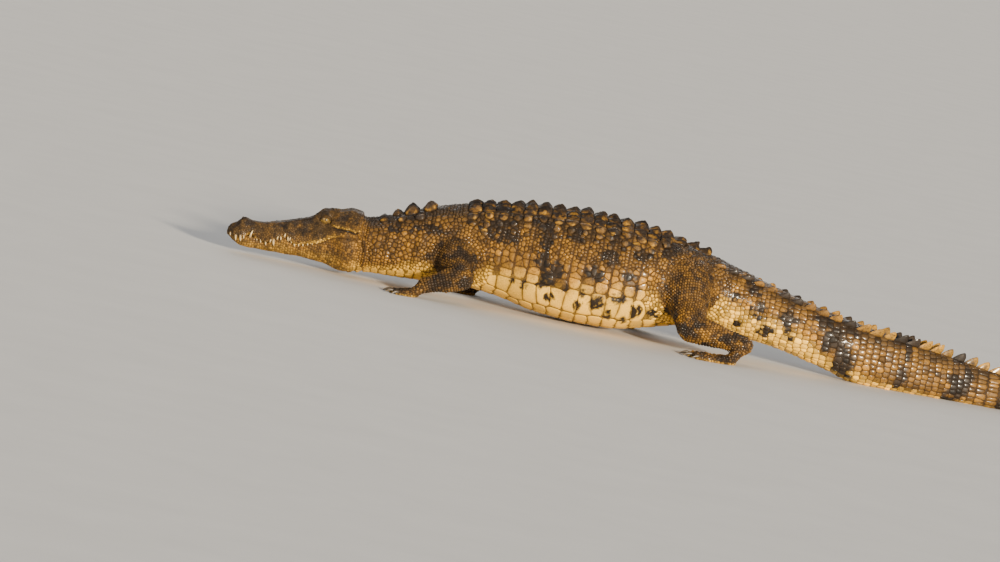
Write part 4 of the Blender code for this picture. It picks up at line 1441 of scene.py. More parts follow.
# ---- Scales ----
@dataclass(frozen=True)
class Shape:
    """Form of one sort of scale; lengths in metres, the rest in shares of its size."""

    edge: float  # height of the rim over the skin
    dome: float  # height of the middle over the rim
    keel: float  # height of the keel over the dome
    keel_wide: float
    tilt: float  # how far the rear edge stands up
    gap: float  # half the groove to the next scale
    square: float  # sharpness of the corners
    sides: int
    rings: tuple
    widest: float  # most that a scale may reach from its middle
    weight: float  # size against the scales of other sorts
    seam: float = 0.85  # how dark its rim is: dark seam with painted shade on its sides and in the groove
    vary: float = 0.2
    crowd: float = 0.0  # how much the points of its outline crowd towards the flanks
    neighbours: int = 13  # how many others shape its outline
    sink: float = 0.0022  # how deep its rim goes into the skin
    own: float = 0.55  # how far one colour covers it, against the markings beneath
    tone: float = 1.0  # how much its brightness differs from the next one's
    faint: float = 0.0  # how much its seam fades on pale hide
    rough: float = 0.0  # unevenness, on the keeled sorts
    shown: float = 0.1  # how pale the patches off the keel of the keeled sorts are
    deep: float = 0.6  # how dark the keeled sorts are

    def directions(self) -> Array:
        """Angles of the points of the outline, from the lie of the scale."""
        even = np.linspace(0, 2 * math.pi, self.sides, endpoint=False)
        return even + self.crowd * np.sin(2 * even)


FINE_RINGS, SMALL_RINGS, LOW_RINGS = (1.0, 0.975, 0.88, 0.68, 0.45, 0.22), (1.0, 0.95, 0.72, 0.36), (1.0, 0.94, 0.6)
FLAT_RINGS, LONG_RINGS = (1.0, 0.97, 0.78, 0.4), (1.0, 0.97, 0.78, 0.5, 0.24)
NAPE = (  # s, side, size, height of the keel
    (0.671, 0.036, 1.0, 1.1), (0.738, 0.037, 1.05, 1.2), (0.705, 0.098, 0.72, 0.45),
    (0.618, 0.03, 0.62, 0.34), (0.64, 0.086, 0.56, 0.26), (0.572, 0.058, 0.72, 0.38),
)


class Kind(Enum):
    """Sorts of scale, each with its own shape."""

    SHIELD = Shape(0.003, 0.002, 0.0172, 0.24, 0, 0.001, 20, 24, FINE_RINGS, 0.04, 2.2, rough=1.0)
    NUCHAL = Shape(0.004, 0.006, 0.019, 0.3, 0, 0.001, 9, 24, FINE_RINGS, 0.036, 2.6, rough=1.0)
    SIDE = Shape(0.0018, 0.003, 0.01, 0.3, 0.0006, 0.0007, 12, 16, FINE_RINGS, 0.032, 2.3, 0.8, 0.25,
                 rough=0.35, shown=0.16, deep=0.3)
    FLANK = Shape(0.0009, 0.0013, 0.001, 0.4, 0.0007, 0.0004, 14, 10, SMALL_RINGS, 0.018, 1.0, 0.72, 0.4)
    PLATE = Shape(0.001, 0.0007, 0.0005, 0.45, 0.0006, 0.0004, 18, 14, FLAT_RINGS, 0.032, 1.3, 0.68, 0.34,
                  own=0.35, faint=0.35)
    BELLY = Shape(0.0011, 0.0004, 0, 0.3, 0.001, 0.0004, 26, 20, LONG_RINGS, 0.068, 1.7, 0.85, 0.2, 0.24,
                  neighbours=33, own=0.12, tone=0.35)
    WHORL = Shape(0.0012, 0.0006, 0.0012, 0.35, 0.001, 0.0005, 16, 14, FLAT_RINGS, 0.03, 1.5, 0.52, 0.45,
                  faint=0.35)
    LIMB = Shape(0.0009, 0.0016, 0.0008, 0.45, 0.0006, 0.0004, 10, 9, LOW_RINGS, 0.012, 1.0, 0.42, 0.45)
    FACE = Shape(0.0003, 0.0006, 0.0003, 0.5, 0, 0.0003, 12, 9, LOW_RINGS, 0.01, 0.9, 0.42, 0.4, sink=0.0009)
    ROOF = Shape(0.0003, 0.0003, 0.0008, 0.9, 0, 0.0002, 14, 9, LOW_RINGS, 0.008, 0.9, 0.34, 0.4, sink=0.0009)


@dataclass
class Lot:
    """Scales of one piece: while they are laid out, rows of s, q, size and height of the keel."""

    name: str
    kind: Kind
    rows: list = field(default_factory=list)
    points: Array | None = None
    along: Array | None = None
    on_leg: float = 0.0


@dataclass
class Coat:
    """Every scale of the body, laid out, fitted to its neighbours and built."""

    skin: Skin
    paint: HidePaint
    shield_lines: tuple = ((0.16, 0.95), (0.47, 1.0), (0.76, 0.85))  # side, in shares of the shields' width; keel
    side_lines: tuple = ((0.047, 1.0, 1.0), (0.086, 0.62, 0.85), (0.119, 0.34, 0.66))  # way down, keel, size
    side_start: float = 0.76  # where the ways down begin, in shares of the shields' width
    flank_wide: float = 0.0128
    flank_rows: int = 4  # to each cross row of shields
    plate_rows: tuple = ((2, 0.096, 0.052, 0.0185), (1, 0.05, 0.0, 0.026))  # rows, upper and lower edge, width
    face_pitch: float = 0.0098
    face_wide: float = 0.0108
    leg_pitch: float = 0.0112
    leg_wide: float = 0.0108
    leg_apart: float = 0.0086
    toe_pitch: float = 0.0082
    toe_turns: tuple = (-1.05, 0.0, 1.05)
    fold_pitch: float = 0.0118
    fold_rows: int = 5  # rows of scales that run round the root of a leg
    eye_room: tuple = (0.029, 0.045, 0.0172)  # half lengths of the space that the lids take
    deep: float = 0.0026  # depth of the closing point under a scale
    patch: float = 0.0015  # half width of a scale's place on the unwrap
    random: np.random.Generator = field(default_factory=lambda: np.random.default_rng(7))
    lots: list[Lot] = field(default_factory=list)

    def read_skin(self) -> None:
        """Triangles of the skin, their owners and their places on the unwrap."""
        self.form, mesh = self.skin.form, self.skin.piece.data
        mesh.calc_loop_triangles()
        self.faces, loops = (read(mesh.loop_triangles, key, np.int32, 3) for key in ("vertices", "loops"))
        self.face_uv = read(mesh.uv_layers["OFBake"].data, "uv", wide=2)[loops].mean(axis=1)
        self.vertices = points_of(self.skin.piece)
        self.face_limb = value_of(self.skin.piece, "limb")[self.faces].max(axis=1)
        self.middles = self.vertices[self.faces].mean(axis=1)
        self.surface = BVHTree.FromPolygons(self.vertices.tolist(), self.faces.tolist())

    # -- laying out
    def lay_shields(self) -> None:
        """Cross rows of keeled shields on the back, and the cluster on the nape."""
        back, nape = Lot("back_shields", Kind.SHIELD), Lot("nape_shields", Kind.NUCHAL)
        for row in range(TRUNK_ROWS):
            s = FIRST_ROW + (row + 0.5) * ROW
            for part, tall in self.shield_lines:
                q = self.form.q_of_side(s, self.form.shield_edge(s) * part)
                for sign in (-1, 1):
                    wander = self.random.uniform(-0.0045, 0.0045, 2)
                    size, lift = self.random.uniform(0.84, 1.18), tall * self.random.uniform(0.7, 1.15)
                    back.rows.append((s + wander[0], sign * q * (1 + wander[1] * 7), size, lift))
        for s, side, size, lift in NAPE:
            nape.rows += [(s, sign * self.form.q_of_side(s, side), size, lift) for sign in (-1, 1)]
        self.lots += [back, nape]

    def row_of(self, lot: Lot, s: float, low: float, high: float, step: float, odd: bool, jitter: float) -> None:
        """A cross row of even scales between two distances from the back's midline.

        Args:
            lot: where they go.
            s: place of the row.
            low: distance of the first edge, round the section.
            high: distance of the last edge.
            step: size of one scale.
            odd: whether the row is set off from the last.
            jitter: how irregular it is.
        """
        count = max(1, int(round((high - low) / step)))
        step = (high - low) / count
        arcs = low + (np.arange(count) + (0.75 if odd else 0.25)) * step
        for sign in (-1, 1):
            noise = self.random.uniform(-jitter, jitter, (2, count)) * step
            q = sign * self.form.q_of_arc(s, arcs + noise[0])
            lot.rows += zip(s + noise[1], q, 1 + 1.2 * noise[0] / step, self.random.uniform(0.3, 1.7, count))

    def clear_of(self, lot: Lot, other: Lot, reach: float) -> None:
        """Drops the scales of a lot that lie within reach of a larger one's middle.

        Args:
            lot: the small scales.
            other: the larger ones.
            reach: distance kept clear of one of size 1.
        """
        mine, spots = (self.form.surface(*np.array(one.rows)[:, :2].T) for one in (lot, other))
        limit = reach * np.array(other.rows)[:, 2]
        near = (np.linalg.norm(mine[:, None] - spots[None], axis=2) < limit).any(axis=1)
        lot.rows = [row for row, hidden in zip(lot.rows, near) if not hidden]

    def scatter_large(self, lot: Lot, places: tuple, top: tuple, low: tuple, apart: float) -> None:
        """Sets larger oval scales in slanting rows among the small ones of a lot.

        Args:
            lot: the small scales, which make room.
            places: first place, last place and pitch of the rows.
            top: places and q of the upper edge of the field, as two rows.
            low: the same of its lower edge.
            apart: distance between them in a row.
        """
        large = Lot("large", lot.kind)
        for k, s in enumerate(np.arange(*places)):
            high, deep = (self.form.arc_at(s, float(np.interp(s, *edge))) for edge in (top, low))
            self.row_of(large, s, high, deep, apart, k % 2, 0.22)
        sizes, lifts = (self.random.uniform(*limits, len(large.rows)) for limits in ((0.8, 1.25), (1.5, 3.2)))
        large.rows = [(s, q, 1.15 * size, lift) for (s, q, *_), size, lift in zip(large.rows, sizes, lifts)]
        self.clear_of(lot, large, 0.0104)
        lot.rows += large.rows

    def belly_arc(self, s: float) -> float:
        """Distance from the back's midline to the upper edge of the belly shields."""
        q = np.interp(s, [0.5, 0.8, 0.95, 1.05, 1.35, 1.6, 1.75, 1.9],
                      [0.72, 0.68, 0.64, 0.575, 0.535, 0.535, 0.575, 0.6])
        return self.form.arc_at(s, float(q))

    def lay_neck(self) -> None:
        """Small domed scales over the neck, with larger ones on its sides."""
        lot, s, odd = Lot("neck_scales", Kind.FLANK), 0.502, False
        while s < FIRST_ROW - 0.004:
            pitch = float(np.interp(s, [0.5, 0.6], [0.0098, 0.012]))
            self.row_of(lot, s, 0.0, self.belly_arc(s), pitch + 0.0004, odd, 0.2)
            s, odd = s + pitch, not odd
        span = [0.5, 0.9]
        self.scatter_large(lot, (0.545, 0.865, 0.028), (span, [0.14, 0.22]), (span, [0.6, 0.54]), 0.026)
        self.clear_of(lot, self.lots[1], 0.0375)
        self.lots.append(lot)

    def lay_side_shields(self) -> None:
        """Three looser lines of small keeled shields on each side, lower and lower down the flank."""
        lot = Lot("side_shields", Kind.SIDE)
        for row in range(TRUNK_ROWS):
            s = FIRST_ROW + (row + 0.5) * ROW
            start = self.form.arc_at(s, self.form.q_of_side(s, self.form.shield_edge(s) * self.side_start))
            for down, tall, size in self.side_lines:
                for sign in (-1, 1):
                    wander = self.random.uniform(-0.0055, 0.0055, 2)
                    q = sign * float(self.form.q_of_arc(s, start + down + wander[0]))
                    size_here, lift = size * self.random.uniform(0.8, 1.15), tall * self.random.uniform(0.6, 1.3)
                    lot.rows.append((s + wander[1], q, size_here, lift))
        self.lots.append(lot)

    def lay_flanks(self) -> None:
        """Cross rows between the shields and the belly, in step with both and coarser below."""
        both, plates = Lot("both", Kind.FLANK), Lot("side_plates", Kind.PLATE)
        for row in range(TRUNK_ROWS):
            start = FIRST_ROW + row * ROW
            for part in range(self.flank_rows):
                s = start + (part + 0.5) / self.flank_rows * ROW
                top = self.form.arc_at(s, self.form.q_of_side(s, self.form.shield_edge(s) * 0.92)) + 0.01
                end = self.belly_arc(s) - 0.098 + self.random.uniform(-0.004, 0.004)
                self.row_of(both, s, top, end, self.flank_wide, part % 2, 0.19)
            for parts, high, low, wide in self.plate_rows:
                for part in range(parts):
                    s = start + (part + 0.5) / parts * ROW
                    end = self.belly_arc(s) + self.random.uniform(-0.005, 0.005)
                    self.row_of(plates, s, end - high, end - low, wide, (row + part) % 2, 0.1)
        span = [0.9, 1.8]
        self.scatter_large(both, (FIRST_ROW + ROW * 0.5, VENT - 0.03, ROW), (span, [0.3, 0.3]), (span, [0.42, 0.41]),
                           0.036)
        self.clear_of(both, self.lots[-1], 0.0262)
        for name, sign in (("flank_scales_left", -1), ("flank_scales_right", 1)):
            self.lots.append(Lot(name, Kind.FLANK, [row for row in both.rows if row[1] * sign > 0]))
        self.lots.append(plates)

    def lay_belly(self) -> None:
        """Flat shields in straight rows from the throat to the vent; on the belly the outer ones are tall."""
        lot = Lot("belly_shields", Kind.BELLY)
        edges = np.concatenate([0.505 + 0.475 * np.linspace(0, 1, 15) ** 1.12, FIRST_ROW + ROW * np.arange(3, 19)])
        for at in (edges[:-1] + edges[1:]) / 2:
            wide = float(np.interp(at, [0.5, 0.8, 1.0, 1.8], [0.023, 0.031, 0.044, 0.04]))
            tall = float(np.interp(at, [0.95, 1.1, 1.6, 1.78], [0.0, 0.128, 0.128, 0.045]))
            top = self.belly_arc(at) + self.random.uniform(-0.007, 0.007)
            if tall > wide:
                q = float(self.form.q_of_arc(at, top + tall / 2))
                lot.rows += [(at, -q, 1.35, 1.0), (at, q, 1.35, 1.0)]
                top += tall
            self.row_of(lot, at, top, self.form.girth(at), wide, True, 0.04)
        self.lots.append(lot)

    def lay_tail(self) -> None:
        """Rings of oblong scales round the tail, one ring to each whorl."""
        lot = Lot("tail_whorls", Kind.WHORL)
        for s in self.form.whorls(0.03):
            girth, side = self.form.girth(s), self.form.crest_side(s)
            wide = float(np.interp(s, [1.8, 2.15, 2.45, 3.5], [0.0155, 0.0175, 0.021, 0.015]))
            start = self.form.arc_at(s, self.form.q_of_side(s, side)) + 0.006
            parts = 3 if s < 2.1 else 2 if s < 2.9 else 1
            for part in range(parts):
                at = s + (part - (parts - 1) / 2) * ROW / parts
                self.row_of(lot, at, start, girth, wide, part % 2, 0.21 if s < 2.42 else 0.11)
                if side > 0.012:
                    self.row_of(lot, at, 0.0, start - 0.008, 0.02, True, 0.08)
        self.lots.append(lot)

    def lay_face(self) -> None:
        """Low plates on the jaw and the cheeks, in rows along them."""
        lot = Lot("face_plates", Kind.FACE)
        for k, s in enumerate(np.arange(0.026, NECK - 0.002, self.face_pitch)):
            lip = self.form.arc_at(s, 0.5)
            self.row_of(lot, s, lip + 0.009, self.form.girth(s), self.face_wide, k % 2, 0.18)
        self.lots.append(lot)

    def sprinkle(self, rows: Array, each: int) -> Array:
        """Random points on some triangles of the skin.

        Args:
            rows: numbers of the triangles.
            each: points on each of them.

        Returns:
            The points in random order.
        """
        weight = self.random.dirichlet((1.0, 1.0, 1.0), (len(rows), each))
        points = (self.vertices[self.faces[rows]][:, None] * weight[..., None]).sum(axis=2).reshape(-1, 3)
        return points[self.random.permutation(len(points))]

    def free_lot(self, name: str, kind: Kind, points: Array, along: Array, on_leg: float = 0.0) -> Lot:
        """A lot placed by world points, with the direction that each scale lies in.

        Args:
            name: name of the piece.
            kind: sort of scale.
            points: middles of the scales.
            along: their lie.
            on_leg: 1 on a leg, 0 on the body.

        Returns:
            The lot, also put among the others.
        """
        s, q = self.skin.body_place(points)
        size, lift = (self.random.uniform(*limits, len(s)) for limits in ((0.82, 1.22), (0.3, 1.7)))
        self.lots.append(Lot(name, kind, list(zip(s, q, size, lift)), points, along, on_leg))
        return self.lots[-1]

    def lay_roof(self) -> None:
        """Small uneven plates over the snout, the skull and the upper cheeks."""
        x = self.middles[:, 0] - self.form.origin[0]
        points = self.sprinkle(np.flatnonzero((self.face_limb < 0.5) & (x < NECK) & (self.middles[:, 2] > 0.06)), 3)
        s, q = self.skin.body_place(points)
        points = points[(np.abs(q) < 0.462) & (s > 0.006) & (s < 0.497)]
        away = np.min([np.linalg.norm(points - eye, axis=1) for eye, _ in self.skin.eyes.values()], axis=0)
        fields = ((away > 0.052, 0.007, 0.0082), (away <= 0.052, 0.005, 0.0058))  # closer round the eyes
        points = np.concatenate([self.relax(self.thin_out(points[rows], least), apart, 3)
                                 for rows, least, apart in fields])
        s, q = self.skin.body_place(points)
        points = points[(self.skin.nostril(points, q) > 1.75) & (np.abs(q) < 0.466)]
        lot = self.free_lot("roof_plates", Kind.ROOF, points, np.tile([1.0, 0.0, 0.0], (len(points), 1)))
        lifts = self.random.uniform(0, 1, len(points)) ** 2 * 2.4
        lot.rows = [(*row[:3], lift) for row, lift in zip(lot.rows, lifts)]

    def lay_limb_folds(self, limb: Limb) -> None:
        """Rows of scales on the body round the root of a leg.

        Args:
            limb: the leg.
        """
        seam = self.skin.seams[limb.number]
        tree = tree_of(seam)
        close = np.flatnonzero((self.face_limb < 0.5) & (np.abs(self.middles - seam.mean(axis=0)).max(axis=1) < 0.24))
        away = np.array([tree.find(p)[2] for p in self.middles[close]])
        rings, lies = [], []
        for k in range(self.fold_rows):
            reach = 0.0055 + (k + 0.5) * self.fold_pitch
            band = self.sprinkle(close[np.abs(away - reach) < 0.012], 4)
            off = np.linalg.norm(band - np.array([tree.find(p)[0] for p in band]), axis=1)
            rings.append(self.thin_out(band[np.abs(off - reach) < 0.0016], self.fold_pitch))
            lies.append(unit(rings[-1] - np.array([tree.find(p)[0] for p in rings[-1]])))
        self.free_lot(f"{limb.name}_folds", Kind.FLANK, np.concatenate(rings), np.concatenate(lies))

    def hits(self, start: Array, ways: list, reach: float, number: int | None = None) -> list:
        """Where rays from inside a limb meet the skin, on one limb alone if its number is given.

        Args:
            start: where the rays begin.
            ways: their directions.
            reach: their length.
            number: number of the limb.

        Returns:
            The points found.
        """
        found = [self.surface.ray_cast(Vector(start), Vector(way), reach) for way in ways]
        return [tuple(hit[0]) for hit in found
                if hit[0] is not None and (number is None or abs(self.face_limb[hit[2]] - number) < 0.3)]

    def leg_rows(self, limb: Limb) -> list:
        """Points in rings down the leg, at even steps round each ring.

        Args:
            limb: the leg.

        Returns:
            The points.
        """
        path, size = limb.path[:8], limb.size[:8]
        run = run_of(path)
        at = np.arange(0.01, run[-1], self.leg_pitch)
        centre = np.stack([np.interp(at, run, path[:, c]) for c in range(3)], axis=1)
        ahead = unit(np.gradient(centre, axis=0))
        for _ in range(4):
            ahead = unit(ahead + np.roll(ahead, 1, 0) * 0.5 + np.roll(ahead, -1, 0) * 0.5)
        found = []
        for k, (c, a, r) in enumerate(zip(centre, ahead, np.interp(at, run, size.mean(axis=1)))):
            u = unit(np.cross(a, [0.3, 0.2, 1.0]))
            v = np.cross(a, u)
            count = max(8, int(2 * math.pi * r / self.leg_wide))
            turns = (np.arange(count) + k % 2 * 0.5) * 2 * math.pi / count
            found += self.hits(c, [u * math.cos(t) + v * math.sin(t) for t in turns], 0.16, limb.number)
        return found

    def toe_rows(self, limb: Limb) -> list:
        """Points in threes across the top of each toe.

        Args:
            limb: the leg.

        Returns:
            The points.
        """
        found = []
        for root, tip, radius in limb.toe_lines:
            ahead = unit(tip - root)
            across = np.array([-ahead[1], ahead[0], 0.0])
            ways = [across * math.sin(t) + np.array([0, 0, math.cos(t)]) for t in self.toe_turns]
            for at in np.arange(0.012, np.linalg.norm(tip - root) - 0.004, self.toe_pitch):
                found += self.hits(root + ahead * at + [0, 0, radius * 0.5], ways, 0.04)
        return found

    def lay_limbs(self) -> None:
        """Rings of small scales down each leg, threes across the toes, even scales on the feet."""
        for limb in self.skin.limbs:
            self.lay_limb_folds(limb)
            fill = self.sprinkle(np.flatnonzero(np.abs(self.face_limb - limb.number) < 0.3), 2)
            points = np.concatenate([self.toe_rows(limb), self.leg_rows(limb), fill])
            points = self.thin_out(points[points[:, 2] > 0.0035], self.leg_apart)
            _, along = near_line(points, limb.lines(0.006, 0.004))
            self.free_lot(f"{limb.name}_scales", Kind.LIMB, points, along, 1.0)

    @staticmethod
    def thin_out(points: Array, apart: float) -> Array:
        """Points no closer to each other than apart, first come first kept.

        Args:
            points: places, one row each.
            apart: least distance.

        Returns:
            The points kept.
        """
        cells: dict[tuple, list] = {}
        kept = []
        for point, (a, b, c) in zip(points.tolist(), np.floor(points / apart).astype(int).tolist()):
            x, y, z = point
            near = (p for i in (a - 1, a, a + 1) for j in (b - 1, b, b + 1) for k in (c - 1, c, c + 1)
                    for p in cells.get((i, j, k), ()))
            if not any((p[0] - x) ** 2 + (p[1] - y) ** 2 + (p[2] - z) ** 2 < apart * apart for p in near):
                cells.setdefault((a, b, c), []).append(point)
                kept.append(point)
        return np.array(kept)

    def relax(self, points: Array, apart: float, times: int) -> Array:
        """Pushes neighbours apart along the surface until they lie evenly.

        Args:
            points: places on the skin.
            apart: distance to reach.
            times: number of rounds.

        Returns:
            The moved points.
        """
        for _ in range(times):
            tree, moved = tree_of(points), np.zeros_like(points)
            for k, p in enumerate(points):
                for near, _index, away in tree.find_n(p, 7)[1:]:
                    if away < apart * 1.25:
                        moved[k] += (p - np.array(near)) / max(away, 1e-5) * (apart * 1.25 - away) * 0.28
            points = np.array([self.surface.find_nearest(p)[0] for p in points + moved])
        return points

    # -- fitting and building
    def build(self) -> None:
        """Lays out every scale, fits the outlines to each other and makes the pieces."""
        self.read_skin()
        for lay in (self.lay_shields, self.lay_neck, self.lay_side_shields, self.lay_flanks, self.lay_belly,
                    self.lay_tail, self.lay_face, self.lay_roof, self.lay_limbs):
            lay()
        for lot in self.lots:
            self.place(lot)
        self.centres = np.concatenate([lot.centre for lot in self.lots])
        self.sizes = np.concatenate([lot.size * lot.kind.value.weight for lot in self.lots])
        self.tree = tree_of(self.centres)
        first = 0
        for lot in self.lots:
            self.shape(lot, first)
            first += len(lot.centre)

    def place(self, lot: Lot) -> None:
        """Sets the scales of a lot on the skin with their normals and their lie, and drops hidden ones.

        Args:
            lot: the scales.
        """
        s, q, size, lift = np.array(lot.rows).T
        aim, ahead = lot.points, lot.along
        if aim is None:
            aim = self.form.surface(s, q)
            ahead = self.form.spine.place(s, 0 * s, aim[:, 2], 0.01) - self.form.spine.place(s, 0 * s, aim[:, 2])
        centre, normal, index, _ = (np.array(one) for one in zip(*(self.surface.find_nearest(p) for p in aim)))
        keep = np.linalg.norm(centre - aim, axis=1) < 0.012
        if lot.points is None:
            away = np.array([self.skin.seam_tree.find(c)[2] for c in centre])
            keep &= (self.face_limb[index] < 0.5) & (away > self.fold_rows * self.fold_pitch + 0.007)
        if lot.kind in (Kind.FACE, Kind.ROOF):
            for eye, _ in self.skin.eyes.values():
                keep &= np.linalg.norm((centre - eye) / self.eye_room, axis=1) > 1
        lot.s, lot.q, lot.size, lot.lift = s[keep], q[keep], size[keep], lift[keep]
        lot.centre, lot.normal, lot.patch = centre[keep], unit(normal[keep]), self.face_uv[index[keep]]
        lot.ahead = unit(ahead[keep] - (ahead[keep] * lot.normal).sum(1, keepdims=True) * lot.normal)
        lot.across = np.cross(lot.normal, lot.ahead)

    def outlines(self, lot: Lot, first: int, shape: Shape) -> Array:
        """Distance from the middle of each scale to its rim, in each direction of its outline.

        Args:
            lot: the scales.
            first: number of the first of them among all.
            shape: their form.

        Returns:
            One row of distances for each scale.
        """
        index = np.array([[hit[1] for hit in self.tree.find_n(p, shape.neighbours + 1)][1:] for p in lot.centre])
        apart = self.centres[index] - lot.centre[:, None]
        x, y = ((apart * way[:, None]).sum(-1) for way in (lot.ahead, lot.across))
        own = self.sizes[first : first + len(lot.centre)][:, None]
        reach = np.hypot(x, y) * share(own / (own + self.sizes[index]), 0.22, 0.8)
        facing = np.cos(shape.directions()[None, None] - np.arctan2(y, x)[..., None])
        limit = np.where(facing > 0.08, reach[..., None] / np.maximum(facing, 0.08), FAR)
        limit = np.concatenate([limit, np.full((len(x), 1, shape.sides), shape.widest)], axis=1)
        least = limit.min(axis=1, keepdims=True)
        soft = least[:, 0] * ((limit / least) ** -shape.square).sum(axis=1) ** (-1 / shape.square)
        return np.maximum(soft - shape.gap, 0.0012)

    def shape(self, lot: Lot, first: int) -> None:
        """Builds the scales of one lot as closed domes and joins them.

        Args:
            lot: the scales.
            first: number of the first of them among all.
        """
        shape, n = lot.kind.value, len(lot.centre)
        rings, sides, angle = len(shape.rings), shape.sides, shape.directions()
        rim = self.outlines(lot, first, shape)
        x, y = rim * np.cos(angle), rim * np.sin(angle)

        def at(x: Array, y: Array) -> Array:
            """World points over the middles, ahead and across on the tangent plane."""
            wide = (slice(None),) + (None,) * (x.ndim - 1)
            return lot.centre[wide] + x[..., None] * lot.ahead[wide] + y[..., None] * lot.across[wide]

        flat = at(x, y)
        held = np.array([self.surface.find_nearest(p)[0] for p in flat.reshape(-1, 3)]).reshape(flat.shape)
        sag = np.clip(((held - flat) * lot.normal[:, None]).sum(-1), -0.35 * rim, 0.35 * rim)
        long = rim.max(axis=1, keepdims=True)
        vary = self.random.uniform(1 - shape.vary, 1 + shape.vary, (n, 1))
        tall = shape.keel * lot.lift * (self.form.keel(lot.s) / 0.0145 if lot.kind is Kind.SHIELD else 1.0)
        part = np.array(shape.rings)[None, :, None]
        px, py = x[:, None] * part, y[:, None] * part
        run = px / long[..., None]
        dome = shape.edge * np.where(part > 0.93, 0.7, 1.0) + shape.dome * (1 - part**2)
        rise = dome * vary[..., None] + shape.tilt * run
        rise += tall[:, None, None] * ridge(run, py / long[..., None], shape.keel_wide) * vary[..., None]
        spots = at(px, py)
        if lot.kind in (Kind.FLANK, Kind.PLATE):
            rise -= 0.0024 * row_line(lot.s[:, None, None] + px)
        if shape.rough:
            flat = spots.reshape(-1, 3)
            rough = shape.rough * 0.0026 * grain(flat, 0.013, 50) + 0.0017 * grain(flat, 0.0052, 53)
            rise += rough.reshape(rise.shape) * (1 - part**4)
        rise = np.where(part > 0.999, -shape.sink, rise) + sag[:, None] * part**2
        peak = (shape.edge + shape.dome + tall * ridge(np.zeros(1), np.zeros(1), shape.keel_wide)) * vary[:, 0]
        ends = np.stack([lot.centre + peak[:, None] * lot.normal, lot.centre - self.deep * lot.normal], axis=1)
        points = spots + rise[..., None] * lot.normal[:, None, None]
        points = np.concatenate([points.reshape(n, -1, 3), ends], axis=1)
        points[..., 2] = np.maximum(points[..., 2], 0.0)
        each = rings * sides + 2
        faces = (f[None] + (np.arange(n) * each)[:, None, None] for f in tube_faces(rings, sides, (each - 1, each - 2)))
        quads, tris = (f.reshape(-1, f.shape[-1]) for f in faces)
        spread = np.concatenate([np.stack([px, py], -1).reshape(n, -1, 2), np.zeros((n, 2, 2))], axis=1)
        patch = (lot.patch[:, None] + spread / long[:, :, None] * self.patch).reshape(-1, 2)
        values = self.colours(lot, points, spread, shape)
        made = new_mesh(lot.name, points.reshape(-1, 3), quads, tris, values, patch)
        hand_over(made, self.paint.material(lot.name, 0.002 if shape.rough else 0.0007))

    def colours(self, lot: Lot, points: Array, spread: Array, shape: Shape) -> dict[str, Array]:
        """The markings at every vertex, partly by the scale's middle, and the dark rim, which paints shade on the
        scale's sloping sides and in the groove round it.

        Args:
            lot: the scales.
            points: their vertices, one row for each scale.
            spread: how far each vertex lies ahead and across of the middle.
            shape: the form of the scales.

        Returns:
            The named numbers of the vertices.
        """
        n, each = points.shape[:2]
        flat = points.reshape(-1, 3)
        on_leg = self.skin.leg_share(lot.centre, np.full(n, lot.on_leg))
        ways = spread if lot.points is None else 0 * spread
        girth = np.array([self.form.girth(float(s)) for s in lot.s])[:, None]
        s, q = lot.s[:, None] + ways[..., 0], lot.q[:, None] + ways[..., 1] / girth
        whole = self.skin.marks.at(lot.s, lot.q, lot.centre, on_leg)
        local = self.skin.marks.at(s.ravel(), share(q.ravel(), -1), flat, np.repeat(on_leg, each))
        dark, pale, olive = (shape.own * np.repeat(a, each) + (1 - shape.own) * b for a, b in zip(whole, local))
        fore = ease(0.95, 0.8, lot.s) * (lot.kind is Kind.FLANK)
        if lot.kind is Kind.FLANK:
            small = np.repeat(ease(1.7, 1.3, lot.lift) * (1 - 0.55 * fore), each) * (1 - pale)
            dark, olive = share(dark + 0.05 * small), share(olive + 0.18 * small)
        if shape.rough:
            crest = hump(spread[..., 1].ravel(), 0.0062)
            pale_patches = share(2.4 * grain(flat, 0.017, 54) - 0.45) * (1 - crest)
            olive = share(0.62 + 0.55 * grain(flat, 0.02, 51) + 0.35 * crest) * (1 - 0.8 * pale_patches)
            deep = np.maximum(0.8 * dark, shape.deep + 0.7 * grain(flat, 0.012, 52) + 0.34 * crest)
            pale, dark = shape.shown * pale_patches, (1 - 0.7 * pale_patches) * share(deep, 0, 0.94)
        rings = len(shape.rings)
        # Dark rim on the outer rings, which slope down into the groove round the scale: dark seam with painted shade.
        edge = np.interp(np.arange(rings), [0, 1, 2, 3], [1.0, 1.0, 0.22, 0.0])
        edge = np.tile(np.repeat(edge, shape.sides), (n, 1))
        # The sunk creases between cross rows are darkened too: painted shade in them.
        if lot.kind in (Kind.FLANK, Kind.PLATE):
            edge = np.maximum(edge, 0.9 * row_line(s)[:, :-2])
        if lot.kind is Kind.BELLY:
            edge = edge * np.tile(0.16 + 0.84 * ease(0.55, 0.9, np.abs(np.cos(shape.directions()))), rings)
        edge = np.concatenate([edge, np.zeros((n, 1)), np.ones((n, 1))], axis=1).ravel() * shape.seam
        tone = self.random.uniform(-1, 1, n) * shape.tone * (1 - 0.35 * fore)
        return {"dark": dark, "pale": pale, "olive": olive, "rim": edge * (1 - shape.faint * pale),
                "tone": np.repeat(tone, each)}


def row_line(s: Array) -> Array:
    """1 on the creases between the cross rows of the trunk, 0 away from them."""
    away = ((s - FIRST_ROW) / ROW + 0.5) % 1.0 - 0.5
    return hump(away, 0.085) * ease(0.93, 1.0, s) * ease(1.8, 1.76, s)


def ridge(run: Array, aside: Array, wide: float) -> Array:
    """Height of the keel: a slope up to a peak behind the middle, then a short drop.

    Args:
        run: distance ahead of the middle, in shares of the scale.
        aside: distance across it.
        wide: half width of the keel.

    Returns:
        Share of the full height.
    """
    top, end = 0.22, 0.98
    down = share(np.abs(run - top) / np.where(run < top, top + end, end - top))
    return (1 - down**1.3) * np.exp(-(np.abs(aside / wide) ** 1.5))


